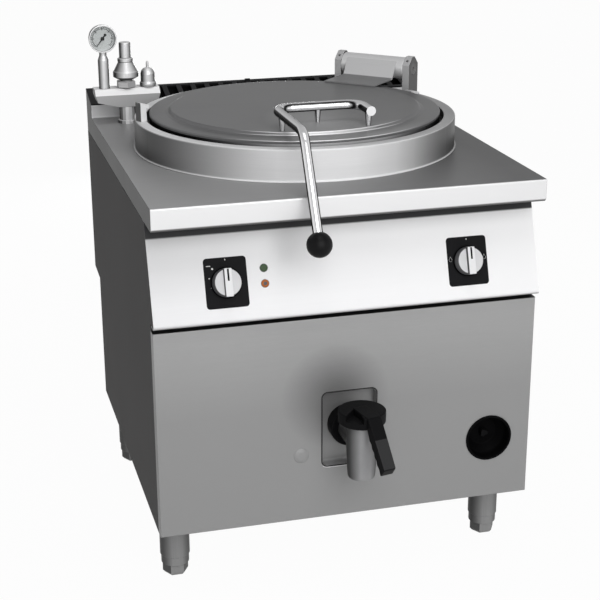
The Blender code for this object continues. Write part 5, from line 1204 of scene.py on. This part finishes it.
BOX_STEEL = satin_steel("manifold_steel", grey(0.95, 0.952), grey(0.98, 0.982), 0.40, (14, 500, 500),
                        metal=0.1, masks=box_masks)
repainted(FITTING_STEEL, "steam_riser")
repainted(BOX_STEEL, "manifold_box")
FITTING_Y = FRONT + 0.7625
GAUGE_X, RELIEF_X, VACUUM_X = -0.373, -0.322, -0.271
MANIFOLD_TOP = 0.9318
GAUGE_Z = 1.0475
stem = turned("gauge_stem",
              [(0, 0), (0.0125, 0, 0.001), (0.0125, 0.0660, 0.004), (0.0085, 0.0770, 0.003),
               (0.0085, 0.0831), (0, 0.0831)], 48, (GAUGE_X, FITTING_Y, MANIFOLD_TOP))
dressed(stem, FITTING_STEEL, "stainless", "cabinet", "gauge_stem")
gauge = (GAUGE_X, FITTING_Y, GAUGE_Z)
case = turned("gauge_case",
              [(0, -0.013), (0.0280, -0.013, 0.002), (0.0300, -0.011, 0.001), (0.0300, 0.006),
               (0.0320, 0.007, 0.0006), (0.0320, 0.013, 0.0012), (0.0290, 0.013, 0.0008),
               (0.0290, 0.003), (0, 0.003)], 96, gauge, facing)
dressed(case, FITTING_STEEL, "stainless", "cabinet", "gauge_case")
HALF_SCALE = 2.36
TICK_END, ARC_OUTER, ARC_INNER, BOLD_START = 0.0266, 0.0232, 0.0222, 0.0195


def dial_print(name):
    """A white dial with a ring of ticks, long at each fifth, and a plain arc inside them."""
    material, start, output = bare_material(name)
    place = start.node("ShaderNodeTexCoord", output=3)
    x, y = place.part(0), place.part(1)
    radius = x.node("ShaderNodeVectorMath", {"operation": "LENGTH"}, {0: place}, output=1)
    angle = x.math("ARCTAN2", x, y)
    printed = angle.size() < HALF_SCALE
    fine = x.math("SINE", angle * 20.0, 0.0).size() < 0.42
    bold = x.math("SINE", angle * 4.0, 0.0).size() < 0.20
    outer = radius < TICK_END
    ticks = fine * outer * (radius > ARC_OUTER) + bold * outer * (radius > BOLD_START)
    ring = (radius > ARC_INNER) * (radius < ARC_OUTER)
    ink = ((ticks + ring) * printed).clamped()
    paper = place.noise(90.0).mixed(grey(0.68, 0.675), grey(0.74, 0.735))
    shader = start.node("ShaderNodeBsdfPrincipled", {}, {"Roughness": 0.5})
    ink.mixed(paper, grey(0.05)).drives(shader.socket.node, "Base Color")
    shader.drives(output, "Surface")
    return material


dial = turned("gauge_dial", [(0, 0.0033), (0.0287, 0.0033), (0.0287, 0.0045), (0, 0.0045)], 96,
              gauge, facing)
dressed(dial, dial_print("dial_print"), "dial_white", "cabinet", "gauge_dial")
needle_outline = [(-0.0022, 0.013), (-0.0032, 0.0105), (-0.0014, 0.007), (-0.0016, 0),
                  (-0.0005, -0.024), (0.0005, -0.024), (0.0016, 0), (0.0014, 0.007),
                  (0.0032, 0.0105), (0.0022, 0.013)]
needle = pushed("gauge_needle", needle_outline, 0.0058, 0.0066, "Z", 0, gauge, (pi / 2, radians(38), 0))
joined(needle, disc_cutter(0.0042, 0.0048, 0.0102, gauge, facing, 32), "UNION")
dressed(needle, CUP_BLACK, "needle_black", "gauge_needle", "gauge_needle")


def clear_glass(name):
    """A thin flat pane: mostly a hole for light, with a faint gloss over it."""
    material, start, output = bare_material(name)
    smear = start.node("ShaderNodeTexCoord", output=3).noise(60.0)
    through = start.node("ShaderNodeBsdfTransparent", {}, {"Color": (0.96, 0.97, 0.97, 1)})
    shader = start.node("ShaderNodeBsdfPrincipled", {}, {"Base Color": (0.9, 0.92, 0.92, 1)})
    (0.04 + smear * 0.05).drives(shader.socket.node, "Roughness")
    start.node("ShaderNodeMixShader", {}, {0: 0.03, 1: through, 2: shader}).drives(output, "Surface")
    return material


repainted(clear_glass("gauge_glass"), "gauge_lens")

relief = turned("safety_valve_body",
                [(0, 0.002), (0.012, 0.002), (0.014, 0.018, 0.002), (0.0225, 0.0215, 0.002),
                 (0.0295, 0.0255, 0.002), (0.0295, 0.037, 0.002), (0.027, 0.040, 0.003),
                 (0.0165, 0.060, 0.002), (0.018, 0.061, 0.0006), (0.018, 0.067, 0.0012),
                 (0.0155, 0.069, 0.0006), (0.0075, 0.069), (0.0075, 0.084), (0, 0.084)],
                96, (RELIEF_X, FITTING_Y, MANIFOLD_TOP))
nut = turned("nut", [(0, 0), (0.021, 0), (0.023, 0.002), (0.023, 0.014), (0.021, 0.016), (0, 0.016)],
             6, (RELIEF_X, FITTING_Y, MANIFOLD_TOP), (0, 0, radians(30)))
joined(relief, nut, "UNION")
dressed(relief, FITTING_STEEL, "stainless", "cabinet", "safety_valve_body")
relief_cap = turned("safety_valve_cap",
                    [(0.0077, 0.0693), (0.0135, 0.0693, 0.0006), (0.0135, 0.105, 0.003), (0, 0.105),
                     (0, 0.0843), (0.0077, 0.0843)], 64, (RELIEF_X, FITTING_Y, MANIFOLD_TOP))
dressed(relief_cap, FITTING_STEEL, "stainless", "relief_cap", "safety_valve_cap")
vacuum = turned("vacuum_valve_body",
                [(0, 0), (0.0175, 0), (0.0190, 0.005, 0.002), (0.0190, 0.009, 0.002),
                 (0.0165, 0.012, 0.002), (0.0165, 0.030, 0.006), (0.0145, 0.037, 0.006),
                 (0.0095, 0.042, 0.003), (0.0033, 0.044), (0.0033, 0.034), (0, 0.034)],
                80, (VACUUM_X, FITTING_Y, MANIFOLD_TOP))
dressed(vacuum, FITTING_STEEL, "stainless", "cabinet", "vacuum_valve_body")
pin = turned("vacuum_valve_pin",
             [(0, 0.038), (0.003, 0.038), (0.003, 0.054, 0.001), (0.0022, 0.058, 0.001), (0, 0.059)],
             32, (VACUUM_X, FITTING_Y, MANIFOLD_TOP))
dressed(pin, FITTING_STEEL, "stainless", "vacuum_pin", "vacuum_valve_pin")
